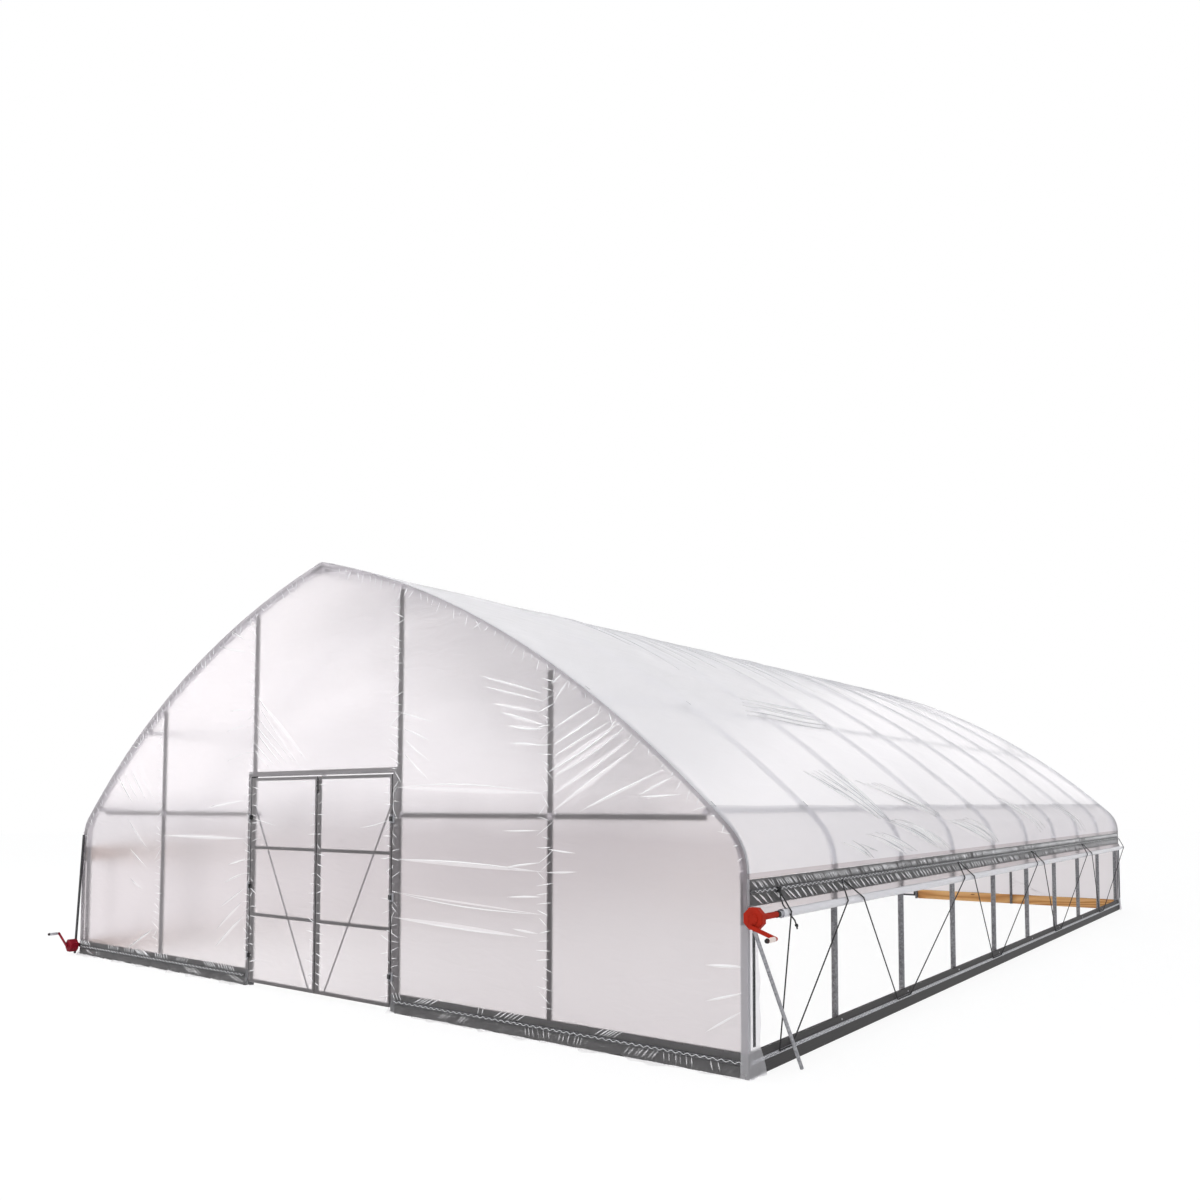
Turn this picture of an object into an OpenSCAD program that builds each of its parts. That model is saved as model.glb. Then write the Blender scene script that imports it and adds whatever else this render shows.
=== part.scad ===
// Gothic-arch polytunnel greenhouse with double doors and roll-up sides.
// Millimetres. X runs across the gable, -Y is the front gable, Z is up from the ground.

/* [Tunnel] */
// Number of bays between bows
bays = 9; // [3:1:14]
// Length of one bay
bay = 1342; // [900:1:1800]
// Half the span between the centre lines of the legs
leg_x = 4515; // [4480:1:4530]

/* [Bows] */
// Height of the ridge on the bow's centre line
peak_z = 3995; // [3900:1:4400]
// Radius of the long rafter bend on its centre line
rafter_r = 9725; // [9500:1:9800]
// Slope of the rafter at the ridge, in degrees
peak_pitch = 13.5; // [12:0.1:15]
// Slope of the rafter where the shoulder bend begins, in degrees
eave_pitch = 43; // [42:0.1:43.4]
// Outside diameter of the bow and leg tubes
bow_od = 50; // [42:1:60]
// Wall of the steel tubes
tube_wall = 2; // [1:0.1:4]
// Gap between the two halves of a bow at the ridge
ridge_gap = 20; // [14:1:40]

/* [Purlins] */
// Outside diameter of the purlins
purlin_od = 42; // [30:1:50]
// Slope of the bow at the middle purlins, in degrees
mid_purlin_pitch = 34; // [25:0.5:38]
// Slope of the bow at the shoulder purlins, in degrees
shoulder_purlin_pitch = 42.2; // [40:0.1:42.6]

/* [Gable frame] */
// Outside diameter of the gable posts, girts and door header
gable_od = 44; // [34:1:48]
// Distance of the outer gable posts from the middle
gable_post_x = 2820; // [2200:10:3300]
// Distance of the door posts from the middle
door_post_x = 1090; // [800:5:1300]
// Height of the girts
girt_z = 1670; // [1500:5:1700]
// How far the outer end of a girt reaches from the middle
girt_reach = 4190; // [4000:5:4200]
// Height of the door header
header_z = 2060; // [1950:5:2300]

/* [Boards] */
// Thickness of the boards
board_t = 30; // [25:1:40]
// Height of the base boards
base_h = 160; // [120:1:200]
// Height of the underside of the hip boards
hip_z = 1095; // [1000:5:1120]
// Height of the hip boards
hip_h = 172; // [100:1:190]

/* [Film] */
// Thickness of the film
film_t = 3; // [1:0.5:4]
// Slope of the film where it leaves the rafter for the shoulder, in degrees
film_eave_pitch = 43.5; // [43.45:0.05:43.6]
// Gap between the gable film and the ground
hem_z = 10; // [5:1:30]

/* [Lock channels] */
// Height of the channels on the boards
channel_w = 24; // [20:1:45]
// Depth of the channels on the boards
channel_t = 8; // [5:0.5:12]
// Width of the slot in the face of a channel
channel_slot = 10; // [6:1:14]
// Wall of a channel
channel_wall = 1.5; // [1:0.5:2]
// Height of the middle of the base channels
base_channel_z = 100; // [60:1:120]
// Height of the middle of the hip channels
hip_channel_z = 1190; // [1150:1:1230]
// Width of the strip that holds the film along the arch
arch_strip_w = 28; // [26:1:60]
// Width of the strip that holds the film beside the door
strip_w = 50; // [46:1:60]

/* [Doors] */
// Width and depth of the square tube of a door leaf
leaf_tube = 28; // [20:1:32]
// Gap between a leaf and the strip beside it, and between the two leaves
leaf_gap = 10; // [8:1:16]
// Gap between the leaves and the header
leaf_top_gap = 14; // [6:1:30]
// Height of the underside of the leaves
leaf_z = 42; // [20:1:60]
// Height of the middle of the lower cross rail
low_rail_z = 697; // [500:1:800]
// Height of the middle of the upper cross rail
high_rail_z = 1345; // [1100:1:1500]
// Width of the diagonal brace of a leaf
brace_w = 14; // [10:1:24]
// Height at which the brace meets the hinge stile
brace_top_z = 1790; // [1600:5:1850]
// Distance of the foot of the brace from the meeting edge of the leaf
brace_foot_x = 110; // [90:5:250]

/* [Hinges] */
// Radius of the hinge barrels
hinge_r = 8; // [7:0.5:12]
// Radius of the hinge pins
pin_r = 4; // [3:0.5:5]
// Height of the moving barrel of a hinge
hinge_h = 40; // [30:1:80]
// Height of each fixed barrel of a hinge
knuckle_h = 16; // [12:1:40]
// Reach of a hinge plate from its pin
hinge_plate = 36; // [35:1:60]
// Thickness of a hinge plate
hinge_t = 3; // [2:0.5:4]
// Height of the lowest hinge
hinge_low_z = 300; // [200:5:450]
// Height of the highest hinge
hinge_high_z = 1640; // [1500:5:1750]

/* [Roll-up sides] */
// Outside diameter of the roll bars
roll_bar_od = 33; // [25:1:40]
// Diameter of the right film roll, wound up
right_roll_od = 66; // [60:1:90]
// Diameter of the left film roll, let down
left_roll_od = 50; // [44:1:60]
// Height of the right roll
right_roll_z = 1032; // [980:1:1060]
// Distance by which the right roll stands out from its hanging film
right_roll_stand = 35; // [10:1:60]
// Height of the left roll
left_roll_z = 110; // [90:1:140]
// Distance of the end of the film rolls from the gable faces
roll_inset = 320; // [300:5:400]

/* [Cranks] */
// Width of a gearbox across its flats
gear_w = 140; // [100:1:160]
// Depth of the bevel round the face of a gearbox
gear_bevel = 8; // [2:1:12]
// Depth of the left gearbox along the roll bar
left_gear_d = 85; // [60:1:120]
// Depth of the right gearbox along the roll bar
right_gear_d = 52; // [48:1:90]
// Radius of the round cover on the face of a gearbox
cover_r = 38; // [25:1:40]
// Thickness of the round cover
cover_t = 4; // [2:0.5:5]
// Length of the socket of the left gearbox on its roll bar
left_socket_l = 60; // [30:5:200]
// Length of the socket of the right gearbox on its roll bar
right_socket_l = 285; // [100:5:290]
// Wall of the sockets
socket_wall = 4; // [2:0.5:5]
// Gap between the right gearbox and the gable film
right_gear_stand = 6; // [5:1:40]
// Gap between the left gearbox and the gable film
left_gear_stand = 32; // [30:1:60]
// Radius of the crank shaft
shaft_r = 9; // [6:0.5:12]
// Length of the crank shaft inside the gearbox
shaft_l = 34; // [20:1:40]
// Distance of the right crank shaft under its roll bar
right_crank_drop = 50; // [0:1:52]
// Length of the left crank arm between the shaft and the grip
left_crank_arm = 240; // [120:5:240]
// Length of the right crank arm between the shaft and the grip
right_crank_arm = 185; // [120:5:240]
// Thickness of a crank arm
crank_t = 12; // [8:1:20]
// Width of a crank arm
crank_w = 26; // [20:1:36]
// Radius of a crank grip
grip_r = 14; // [10:1:20]
// Length of a crank grip
grip_l = 110; // [80:5:140]
// Direction of the right crank arm, in degrees above the outward level
right_crank_angle = -19; // [-60:1:60]
// Direction of the left crank arm, in degrees above the outward level
left_crank_angle = 33; // [20:1:80]

/* [Guide poles] */
// Radius of the guide poles
pole_r = 13; // [8:0.5:16]
// Distance of the foot of the right guide pole outside its roll
right_pole_out = 93; // [60:1:240]
// Distance of the foot of the right guide pole behind the gable
right_pole_back = 423; // [150:1:450]
// Distance of the foot of the left guide pole outside the leg
left_pole_out = 145; // [135:1:200]
// Height of the left guide pole
left_pole_h = 1410; // [1300:10:1500]

/* [Ropes] */
// Radius of the curtain ropes
rope_r = 5.5; // [3:0.5:6]
// Height of the eyes of the left rope on the base board
left_eye_z = 45; // [30:1:60]
// Start of a rope on the hip channel, as a share of the first bay
rope_start = 0.25; // [0.2:0.01:0.4]
// First run of a rope along the base, as a share of a bay
rope_foot = 0.13; // [0.1:0.01:0.3]
// Place where a rope comes down before a bow, as a share of a bay
low_before = 0.2; // [0.1:0.01:0.3]
// Place where a rope goes up again past a bow, as a share of a bay
low_after = 0.02; // [0.01:0.01:0.1]
// Lead of the falling rope to the right roll, as a share of a bay
right_fall = 0.13; // [0.08:0.01:0.2]
// Lead of the rising rope from the right roll, as a share of a bay
right_rise = 0.08; // [0.03:0.01:0.2]
// Lead of the rope between the left roll and its low eye, as a share of a bay
left_lead = 0.03; // [0.02:0.01:0.06]

/* [Hidden] */
// Clearance where two pieces seat on each other
seat = 0.3;
// Clearance of a pin or shaft that turns in its bore
running = 0.08;
// Clearance between the ends of hinge barrels
barrel_gap = 1;
// Clearance between a turning crank and its gearbox
crank_gap = 10;
$fn = 72;
// Facets of the wide bends
wide_fn = 720;
// Flats of the film on one roof slope
film_steps = 24;

bow_r = bow_od / 2;
purlin_r = purlin_od / 2;
gable_r = gable_od / 2;
roll_bar_r = roll_bar_od / 2;

// Distances outward from the centre of a leg or an end bow
board_in = bow_r + seat;
board_out = board_in + board_t;
film_in = board_out + seat;
film_out = film_in + film_t;
// Front of a hinge pin, counted the same way
hinge_out = film_out + hinge_r + barrel_gap;

// The tunnel's length is centred with its cranks and hinges counted in
crank_out = film_out + left_gear_stand + left_gear_d + crank_gap + crank_t + grip_l;
plan_shift = (crank_out - hinge_out - hinge_r) / 2;
front_y = -bays * bay / 2 + plan_shift;
back_y = front_y + bays * bay;
front_face = front_y - film_out;
back_face = back_y + film_out;

// Centre of the long rafter bend of the right half, and the points where the bends meet
rafter_cx = -rafter_r * sin(peak_pitch);
rafter_cz = peak_z - rafter_r * cos(peak_pitch);
eave_x = rafter_cx + rafter_r * sin(eave_pitch);
eave_z = rafter_cz + rafter_r * cos(eave_pitch);
shoulder_r = (leg_x - eave_x) / (1 - sin(eave_pitch));
shoulder_cx = leg_x - shoulder_r;
shoulder_z = eave_z - shoulder_r * cos(eave_pitch);
ridge_turn = ridge_gap / 2 / rafter_r * 180 / PI;
seat_turn = seat / rafter_r * 180 / PI;

// The film's own bends, which pass outside the bows and the hip boards
film_r = rafter_r + bow_r + seat;
film_side = leg_x + film_in;
film_eave_x = rafter_cx + film_r * sin(film_eave_pitch);
film_eave_z = rafter_cz + film_r * cos(film_eave_pitch);
film_shoulder_r = (film_side - film_eave_x) / (1 - sin(film_eave_pitch));
film_shoulder_z = film_eave_z - film_shoulder_r * cos(film_eave_pitch);

// Door frame and leaves
jamb_x = door_post_x - strip_w / 2;
leaf_out = jamb_x - leaf_gap;
leaf_in = leaf_gap / 2;
leaf_top = header_z - gable_r - leaf_top_gap;
hinge_x = jamb_x - leaf_gap / 2;
hinge_zs = [hinge_low_z, (hinge_low_z + hinge_high_z) / 2, hinge_high_z];

// Middles of the rolls, as distances outside the leg and heights
right_roll_at = [film_out + seat + right_roll_stand + right_roll_od / 2, right_roll_z];
left_roll_at = [film_out + seat + left_roll_od / 2, left_roll_z];
right_roll_x = leg_x + right_roll_at[0];
left_roll_x = -leg_x - left_roll_at[0];

// The right guide pole leans under its gearbox, the left one stands between its gearbox and the gable film
right_pole_foot = [right_roll_x + right_pole_out, front_face + right_pole_back, pole_r / 2];
right_pole_top = [right_roll_x, front_face - right_gear_stand - right_gear_d / 2,
    right_roll_z - gear_w / 2 - seat];
right_pole_lean = acos((right_pole_top - right_pole_foot)[2] / norm(right_pole_top - right_pole_foot));
right_pole_head = right_pole_top - [0, 0, pole_r * sin(right_pole_lean)];
left_pole_foot = [-leg_x - left_pole_out, front_face - seat - pole_r, pole_r / 2];
left_pole_head = [-leg_x, front_face - seat - pole_r, left_pole_h];

// Eyes of the ropes on the lips of the channels, as distances outside the leg and heights
lip_mid = (channel_w + channel_slot) / 4;
top_eye = [film_out + 2 * seat + channel_t + rope_r, hip_channel_z - lip_mid];
right_eye = [board_out + 2 * seat + channel_t + rope_r, base_channel_z + lip_mid];
left_eye = [board_out + seat + rope_r, left_eye_z];
// Half the length of the turn of a rope at a top eye, as a share of a bay
eye_turn = 0.012;

// Height of the arch at a distance x from the middle, for a curve a given distance outside the centre line
function arch_z(x, outside) = rafter_cz + sqrt(pow(rafter_r + outside, 2) - pow(x - rafter_cx, 2));

// Points along the right half of the arch, inside the film, from a height over x down to the leg
function film_arch(x, inset) = let (
        r = film_r - inset,
        from = asin((x - rafter_cx) / r),
        steps = 14,
        bends = 6)
    concat(
        [for (i = [0:steps]) let (a = from + (film_eave_pitch - from) * i / steps)
            [rafter_cx + r * sin(a), rafter_cz + r * cos(a)]],
        [for (i = [1:bends]) let (a = film_eave_pitch + (90 - film_eave_pitch) * i / bends)
            [film_side - film_shoulder_r + (film_shoulder_r - inset) * sin(a),
                film_shoulder_z + (film_shoulder_r - inset) * cos(a)]]);

// Points along the film of the right roof slope, on flats that stay outside a radius
function film_bend(r, first, last) = let (
        from = asin((seat - rafter_cx) / film_r),
        turn = (film_eave_pitch - from) / film_steps)
    [for (i = [first:last > first ? 1 : -1:last]) let (a = from + turn * i)
        [rafter_cx + r / cos(turn / 2) * sin(a), rafter_cz + r / cos(turn / 2) * cos(a)]];

// Extrudes an outline drawn in x and z between two places along the tunnel
module along_y(y0, y1) {
    translate([0, y1, 0])
        rotate([90, 0, 0])
            linear_extrude(y1 - y0)
                children();
}

// Extrudes an outline drawn in y and z between two places across the tunnel
module along_x(x0, x1) {
    translate([x0, 0, 0])
        rotate([90, 0, 90])
            linear_extrude(x1 - x0)
                children();
}

// Copies the children to both sides of the tunnel
module both_sides() {
    children();
    mirror([1, 0, 0])
        children();
}

// Turns the front gable's pieces round to the back gable
module at_back() {
    translate([0, front_y + back_y, 0])
        mirror([0, 1, 0])
            children();
}

// Copies the children to every bow
module at_bows() {
    for (i = [0:bays])
        translate([0, front_y + i * bay, 0])
            children();
}

// A ring sector about a centre, with angles counted from the vertical
module arc_band(cx, cz, r_in, r_out, from, to) {
    reach = r_out * 1.1;
    middle = (from + to) / 2;
    translate([cx, cz])
        intersection() {
            difference() {
                circle(r_out, $fn = wide_fn);
                circle(r_in, $fn = wide_fn);
            }
            polygon([[0, 0], for (a = [from, middle, to]) reach * [sin(a), cos(a)]]);
        }
}

// A bent tube about a centre in the plane of the gable, with angles counted from the vertical
module bent_tube(cx, cz, r, from, to) {
    translate([cx, 0, cz])
        rotate([90, 0, 0])
            rotate([0, 0, 90 - to])
                rotate_extrude(angle = to - from, $fn = wide_fn)
                    translate([r, 0])
                        tube_section(bow_r);
}

// The section of a steel tube
module tube_section(r) {
    difference() {
        circle(r);
        circle(r - tube_wall);
    }
}

// A level steel tube along the tunnel
module tube_y(x, z, r, y0, y1) {
    translate([x, y1, z])
        rotate([90, 0, 0])
            linear_extrude(y1 - y0)
                tube_section(r);
}

// A level steel tube across the tunnel
module tube_x(y, z, r, x0, x1) {
    translate([x0, y, z])
        rotate([90, 0, 90])
            linear_extrude(x1 - x0)
                tube_section(r);
}

// An upright steel tube
module tube_z(x, y, r, z0, z1) {
    translate([x, y, z0])
        linear_extrude(z1 - z0)
            tube_section(r);
}

// A box between two corners
module block(low, high) {
    translate(low)
        cube(high - low);
}

// A round bar between two points
module bar(a, b, r) {
    d = b - a;
    translate(a)
        rotate([0, acos(d[2] / norm(d)), atan2(d[1], d[0])])
            cylinder(h = norm(d), r = r);
}

// Legs of the bows on one side
module leg_row() {
    at_bows()
        tube_z(leg_x, 0, bow_r, 0, shoulder_z - seat);
}

module left_posts() {
    color("darkgray")
        mirror([1, 0, 0])
            leg_row();
}

module right_posts() {
    color("darkgray")
        leg_row();
}

// The right half of a bow: long rafter bend and tight shoulder bend
module half_bow() {
    bent_tube(rafter_cx, rafter_cz, rafter_r, peak_pitch + ridge_turn, eave_pitch - seat_turn);
    bent_tube(shoulder_cx, shoulder_z, shoulder_r, eave_pitch, 90);
}

module left_bows() {
    color("darkgray")
        mirror([1, 0, 0])
            at_bows()
                half_bow();
}

module right_bows() {
    color("darkgray")
        at_bows()
            half_bow();
}

// A purlin under the bows, where the rafter has a given slope
module purlin_at(pitch) {
    r = rafter_r - bow_r - seat - purlin_r;
    tube_y(rafter_cx + r * sin(pitch), rafter_cz + r * cos(pitch), purlin_r,
        front_y - bow_r, back_y + bow_r);
}

module purlins() {
    color("darkgray") {
        both_sides() {
            purlin_at(mid_purlin_pitch);
            purlin_at(shoulder_purlin_pitch);
        }
        tube_y(0, arch_z(0, -bow_r - seat - purlin_r), purlin_r, front_y - bow_r, back_y + bow_r);
    }
}

module hip_boards() {
    color("peru")
        both_sides()
            block([leg_x + board_in, front_y - board_in, hip_z],
                [leg_x + board_out, back_y + board_in, hip_z + hip_h]);
}

module side_base_boards() {
    color("saddlebrown")
        both_sides()
            block([leg_x + board_in, front_y - board_in, 0],
                [leg_x + board_out, back_y + board_in, base_h]);
}

module front_base_boards() {
    color("saddlebrown")
        both_sides()
            block([jamb_x + strip_w + seat, front_y - board_out, 0],
                [leg_x + board_out, front_y - board_in - seat, base_h]);
}

module back_base_boards() {
    color("saddlebrown")
        at_back()
            front_base_boards();
}

// A gable post from the ground to the underside of the end bow
module gable_post(x) {
    tube_z(x, front_y, gable_r, 0, arch_z(x + gable_r, -bow_r - seat));
}

module front_gable_frame() {
    girt_y = front_y + gable_od + seat;
    color("darkgray") {
        both_sides() {
            gable_post(gable_post_x);
            gable_post(door_post_x);
            tube_x(girt_y, girt_z, gable_r, door_post_x, girt_reach);
        }
        tube_x(front_y, header_z, gable_r, -door_post_x + gable_r + seat, door_post_x - gable_r - seat);
    }
}

module back_gable_frame() {
    at_back()
        front_gable_frame();
}

// Outline of the right half of the gable inside the film, from a distance x outward
module gable_half(x, inset) {
    polygon(concat(
        film_arch(x, inset),
        [[film_side - inset, hem_z], [x, hem_z]]));
}

// The part of the gable strip that runs up the leg and over the arch
module arch_strip() {
    difference() {
        gable_half(seat, seat);
        gable_half(0, seat + arch_strip_w);
        square([film_side, base_h + seat]);
    }
}

// Strips that hold the gable film: along the arch, down the legs, beside and over the door
module front_film_strips() {
    strip_front = front_y - board_out;
    strip_back = front_y - gable_r - seat;
    color("silver") {
        both_sides() {
            along_y(strip_front, front_y - board_in)
                arch_strip();
            block([jamb_x, strip_front, hem_z], [jamb_x + strip_w, strip_back, header_z + gable_r]);
        }
        block([-jamb_x + seat, strip_front, header_z - gable_r],
            [jamb_x - seat, strip_back, header_z + gable_r]);
    }
}

module back_film_strips() {
    at_back()
        front_film_strips();
}

// The film over the long bend of the right roof slope
module right_roof_film() {
    color("gainsboro", 0.5)
        along_y(front_face, back_face)
            polygon(concat(film_bend(film_r, 0, film_steps), film_bend(film_r + film_t, film_steps, 0)));
}

module left_roof_film() {
    mirror([1, 0, 0])
        right_roof_film();
}

// The film over the right shoulder
module right_shoulder_film() {
    gap_turn = seat / film_shoulder_r * 180 / PI;
    color("gainsboro", 0.5)
        along_y(front_face, back_face)
            arc_band(film_side - film_shoulder_r, film_shoulder_z, film_shoulder_r, film_shoulder_r + film_t,
                film_eave_pitch + gap_turn, 90);
}

module left_shoulder_film() {
    mirror([1, 0, 0])
        right_shoulder_film();
}

// The film that hangs from the left shoulder to its roll
module left_curtain() {
    color("gainsboro", 0.5)
        mirror([1, 0, 0])
            block([film_side, front_face, left_roll_z], [film_side + film_t, back_face, film_shoulder_z - seat]);
}

// The film that hangs from the right shoulder and leans out under the hip board to its roll
module right_curtain() {
    inner = [[film_side, film_shoulder_z - seat], [film_side, hip_z], [film_side + right_roll_stand, right_roll_z]];
    color("gainsboro", 0.5)
        along_y(front_face, back_face)
            polygon(concat(inner, [for (i = [2:-1:0]) inner[i] + [film_t, 0]]));
}

// The gable film beside the door
module front_film_right() {
    color("gainsboro", 0.5)
        along_y(front_y - film_out, front_y - film_in)
            gable_half(jamb_x, seat);
}

module front_film_left() {
    mirror([1, 0, 0])
        front_film_right();
}

// The gable film over the door
module front_film_over_door() {
    half = jamb_x - seat;
    ridge_steps = 8;
    color("gainsboro", 0.5)
        along_y(front_y - film_out, front_y - film_in)
            polygon(concat(
                [for (i = [-ridge_steps:ridge_steps]) let (x = i * half / ridge_steps)
                    [x, arch_z(abs(x), bow_r)]],
                [[half, header_z - gable_r], [-half, header_z - gable_r]]));
}

module back_film_right() {
    at_back()
        front_film_right();
}

module back_film_left() {
    at_back()
        front_film_left();
}

module back_film_over_door() {
    at_back()
        front_film_over_door();
}

// The section of a lock channel: a back, two sides and two lips
module channel_section() {
    side = channel_w / 2;
    lip = channel_slot / 2;
    face = channel_t - channel_wall;
    half = [[channel_wall, side - channel_wall], [face, side - channel_wall], [face, lip], [channel_t, lip],
        [channel_t, side], [0, side]];
    polygon(concat(half, [for (i = [5:-1:0]) [half[i][0], -half[i][1]]]));
}

// A lock channel on a board, along the tunnel
module side_channel(z, outside) {
    along_y(front_y - board_in, back_y + board_in)
        translate([leg_x + outside, z])
            channel_section();
}

// The lock channels over the front base boards
module front_base_channels() {
    both_sides()
        along_x(jamb_x + strip_w, leg_x + board_out)
            translate([front_face - seat, base_channel_z])
                mirror([1, 0])
                    channel_section();
}

module lock_channels() {
    color("lightgray") {
        both_sides()
            side_channel(hip_channel_z, film_out + seat);
        side_channel(base_channel_z, board_out + seat);
        front_base_channels();
        at_back()
            front_base_channels();
    }
}

// Bars on which the side films are wound
module roll_bars() {
    color("gray") {
        tube_y(right_roll_x, right_roll_z, roll_bar_r, front_face - right_gear_stand + seat, back_face);
        tube_y(left_roll_x, left_roll_z, roll_bar_r, front_face - left_gear_stand + seat, back_face);
    }
}

// Film wound on a roll bar
module film_roll(x, z, od) {
    color("whitesmoke")
        translate([x, back_face - roll_inset, z])
            rotate([90, 0, 0])
                linear_extrude(back_face - front_face - 2 * roll_inset)
                    difference() {
                        circle(d = od);
                        circle(roll_bar_r + seat);
                    }
}

module left_film_roll() {
    film_roll(left_roll_x, left_roll_z, left_roll_od);
}

module right_film_roll() {
    film_roll(right_roll_x, right_roll_z, right_roll_od);
}

// An eight-sided gearbox with a bevelled face, a round cover, the socket of its roll bar and the bore of its crank
module gearbox(x, z, stand, depth, socket_l, drop) {
    corner_d = gear_w / cos(22.5);
    bore_r = roll_bar_r + seat;
    translate([x, front_face - stand, z])
        rotate([90, 0, 0])
            difference() {
                union() {
                    rotate([0, 0, 22.5]) {
                        cylinder(h = depth - gear_bevel, d = corner_d, $fn = 8);
                        translate([0, 0, depth - gear_bevel])
                            cylinder(h = gear_bevel, d1 = corner_d, d2 = corner_d - 2 * gear_bevel, $fn = 8);
                    }
                    cylinder(h = depth + cover_t, r = cover_r);
                    translate([0, 0, -socket_l])
                        cylinder(h = socket_l + gear_bevel, r = bore_r + socket_wall);
                }
                translate([0, 0, -2 * socket_l])
                    cylinder(h = 2 * socket_l, r = bore_r);
                translate([0, -drop, depth - shaft_l - seat])
                    cylinder(h = depth, r = shaft_r + running);
            }
}

module left_gearbox() {
    color("firebrick")
        gearbox(left_roll_x, left_roll_z, left_gear_stand, left_gear_d, left_socket_l, 0);
}

module right_gearbox() {
    color("orangered")
        gearbox(right_roll_x, right_roll_z, right_gear_stand, right_gear_d, right_socket_l, right_crank_drop);
}

// A crank: shaft, arm and grip, with the arm along +X
module crank(arm) {
    translate([0, 0, -shaft_l])
        cylinder(h = shaft_l + crank_gap + crank_t, r = shaft_r);
    translate([0, 0, crank_gap]) {
        cylinder(h = crank_t, d = crank_w);
        translate([0, -crank_w / 2, 0])
            cube([arm, crank_w, crank_t]);
        translate([arm, 0, 0])
            cylinder(h = crank_t, d = crank_w);
        translate([arm, 0, crank_t / 2])
            cylinder(h = crank_t / 2 + grip_l, r = grip_r);
    }
}

module right_crank() {
    color("gray")
        translate([right_roll_x, front_face - right_gear_stand - right_gear_d, right_roll_z - right_crank_drop])
            rotate([90, 0, 0])
                rotate([0, 0, right_crank_angle])
                    crank(right_crank_arm);
}

module left_crank() {
    color("gray")
        translate([left_roll_x, front_face - left_gear_stand - left_gear_d, left_roll_z])
            rotate([90, 0, 0])
                rotate([0, 0, 180 - left_crank_angle])
                    crank(left_crank_arm);
}

// Poles that keep the gearboxes from turning with their rolls
module guide_poles() {
    color("gray") {
        bar(right_pole_foot, right_pole_head, pole_r);
        bar(left_pole_foot, left_pole_head, pole_r);
    }
}

// The bend of a rope that goes round the outside of a roll between two eyes
function roll_bend(roll, od, top, low) = let (
        r = od / 2 + seat + rope_r,
        up = top - roll,
        down = low - roll,
        a = atan2(up[1], up[0]) - acos(r / norm(up)),
        b = atan2(down[1], down[0]) + acos(r / norm(down)))
    roll + r / cos((a - b) / 2) * [cos((a + b) / 2), sin((a + b) / 2)];

// A point of a rope beside the right legs, at a share of the bays
function rope_at(bow, at) = [leg_x + at[0], front_y + bow * bay, at[1]];

// The turn of a rope at the top eye over a bow
function top_turn(bow) = [rope_at(bow - eye_turn, top_eye), rope_at(bow + eye_turn, top_eye)];

// The right rope goes down outside its roll to the base channel and up again at every second bow
function right_route() = let (bend = roll_bend(right_roll_at, right_roll_od, top_eye, right_eye)) concat(
    [rope_at(rope_start, top_eye), rope_at(rope_start, bend), rope_at(rope_start, right_eye),
        rope_at(rope_start + rope_foot, right_eye), rope_at(1 - right_rise, bend)],
    [for (bow = [1:2:bays - 2]) each concat(top_turn(bow), [
        rope_at(bow + right_fall, bend),
        rope_at(bow + 1 - low_before, right_eye),
        rope_at(bow + 1 + low_after, right_eye),
        rope_at(bow + 2 - right_rise, bend)])],
    [rope_at(bays, top_eye)]);

// The left rope goes down over its curtain and under the roll to the base board
function left_route() = let (bend = roll_bend(left_roll_at, left_roll_od, top_eye, left_eye)) concat(
    [rope_at(rope_start, top_eye), rope_at(rope_start, bend), rope_at(rope_start, left_eye),
        rope_at(rope_start + rope_foot, left_eye), rope_at(rope_start + rope_foot + left_lead, bend)],
    [for (bow = [1:2:bays - 2]) each concat(top_turn(bow), [
        rope_at(bow + 1 - low_before - left_lead, bend),
        rope_at(bow + 1 - low_before, left_eye),
        rope_at(bow + 1 + low_after, left_eye),
        rope_at(bow + 1 + low_after + left_lead, bend)])],
    [rope_at(bays, top_eye)]);

function unit(v) = v / norm(v);

// Direction of a route at one of its points
function heading(route, i) = unit(
    (i > 0 ? unit(route[i] - route[i - 1]) : [0, 0, 0]) +
    (i < len(route) - 1 ? unit(route[i + 1] - route[i]) : [0, 0, 0]));

// A rope of eight sides along a route
module rope(route) {
    sides = 8;
    count = len(route);
    points = [for (i = [0:count - 1]) let (
            t = heading(route, i),
            b = unit(cross(t, [1, 0, 0])),
            n = cross(b, t))
        for (k = [0:sides - 1]) route[i] + rope_r * (cos(360 * k / sides) * n + sin(360 * k / sides) * b)];
    faces = concat(
        [[for (k = [0:sides - 1]) k]],
        [for (i = [0:count - 2], k = [0:sides - 1]) let (m = (k + 1) % sides)
            [i * sides + k, (i + 1) * sides + k, (i + 1) * sides + m, i * sides + m]],
        [[for (k = [sides - 1:-1:0]) (count - 1) * sides + k]]);
    polyhedron(points, faces, convexity = 10);
}

module ropes() {
    color("black") {
        rope(right_route());
        mirror([1, 0, 0])
            rope(left_route());
    }
}

// The fixed half of a hinge, with its pin, about the pin's middle
module fixed_hinge() {
    height = hinge_h + 2 * barrel_gap + 2 * knuckle_h;
    start = hinge_h / 2 + barrel_gap;
    plate_back = hinge_r + barrel_gap - seat;
    cylinder(h = height, r = pin_r, center = true);
    for (z = [-start - knuckle_h, start]) {
        translate([0, 0, z])
            cylinder(h = knuckle_h, r = hinge_r);
        block([0, plate_back - hinge_t, z], [hinge_plate, plate_back, z + knuckle_h]);
    }
    block([hinge_r + 2 * barrel_gap, plate_back - hinge_t, -height / 2],
        [hinge_plate, plate_back, height / 2]);
}

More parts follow.
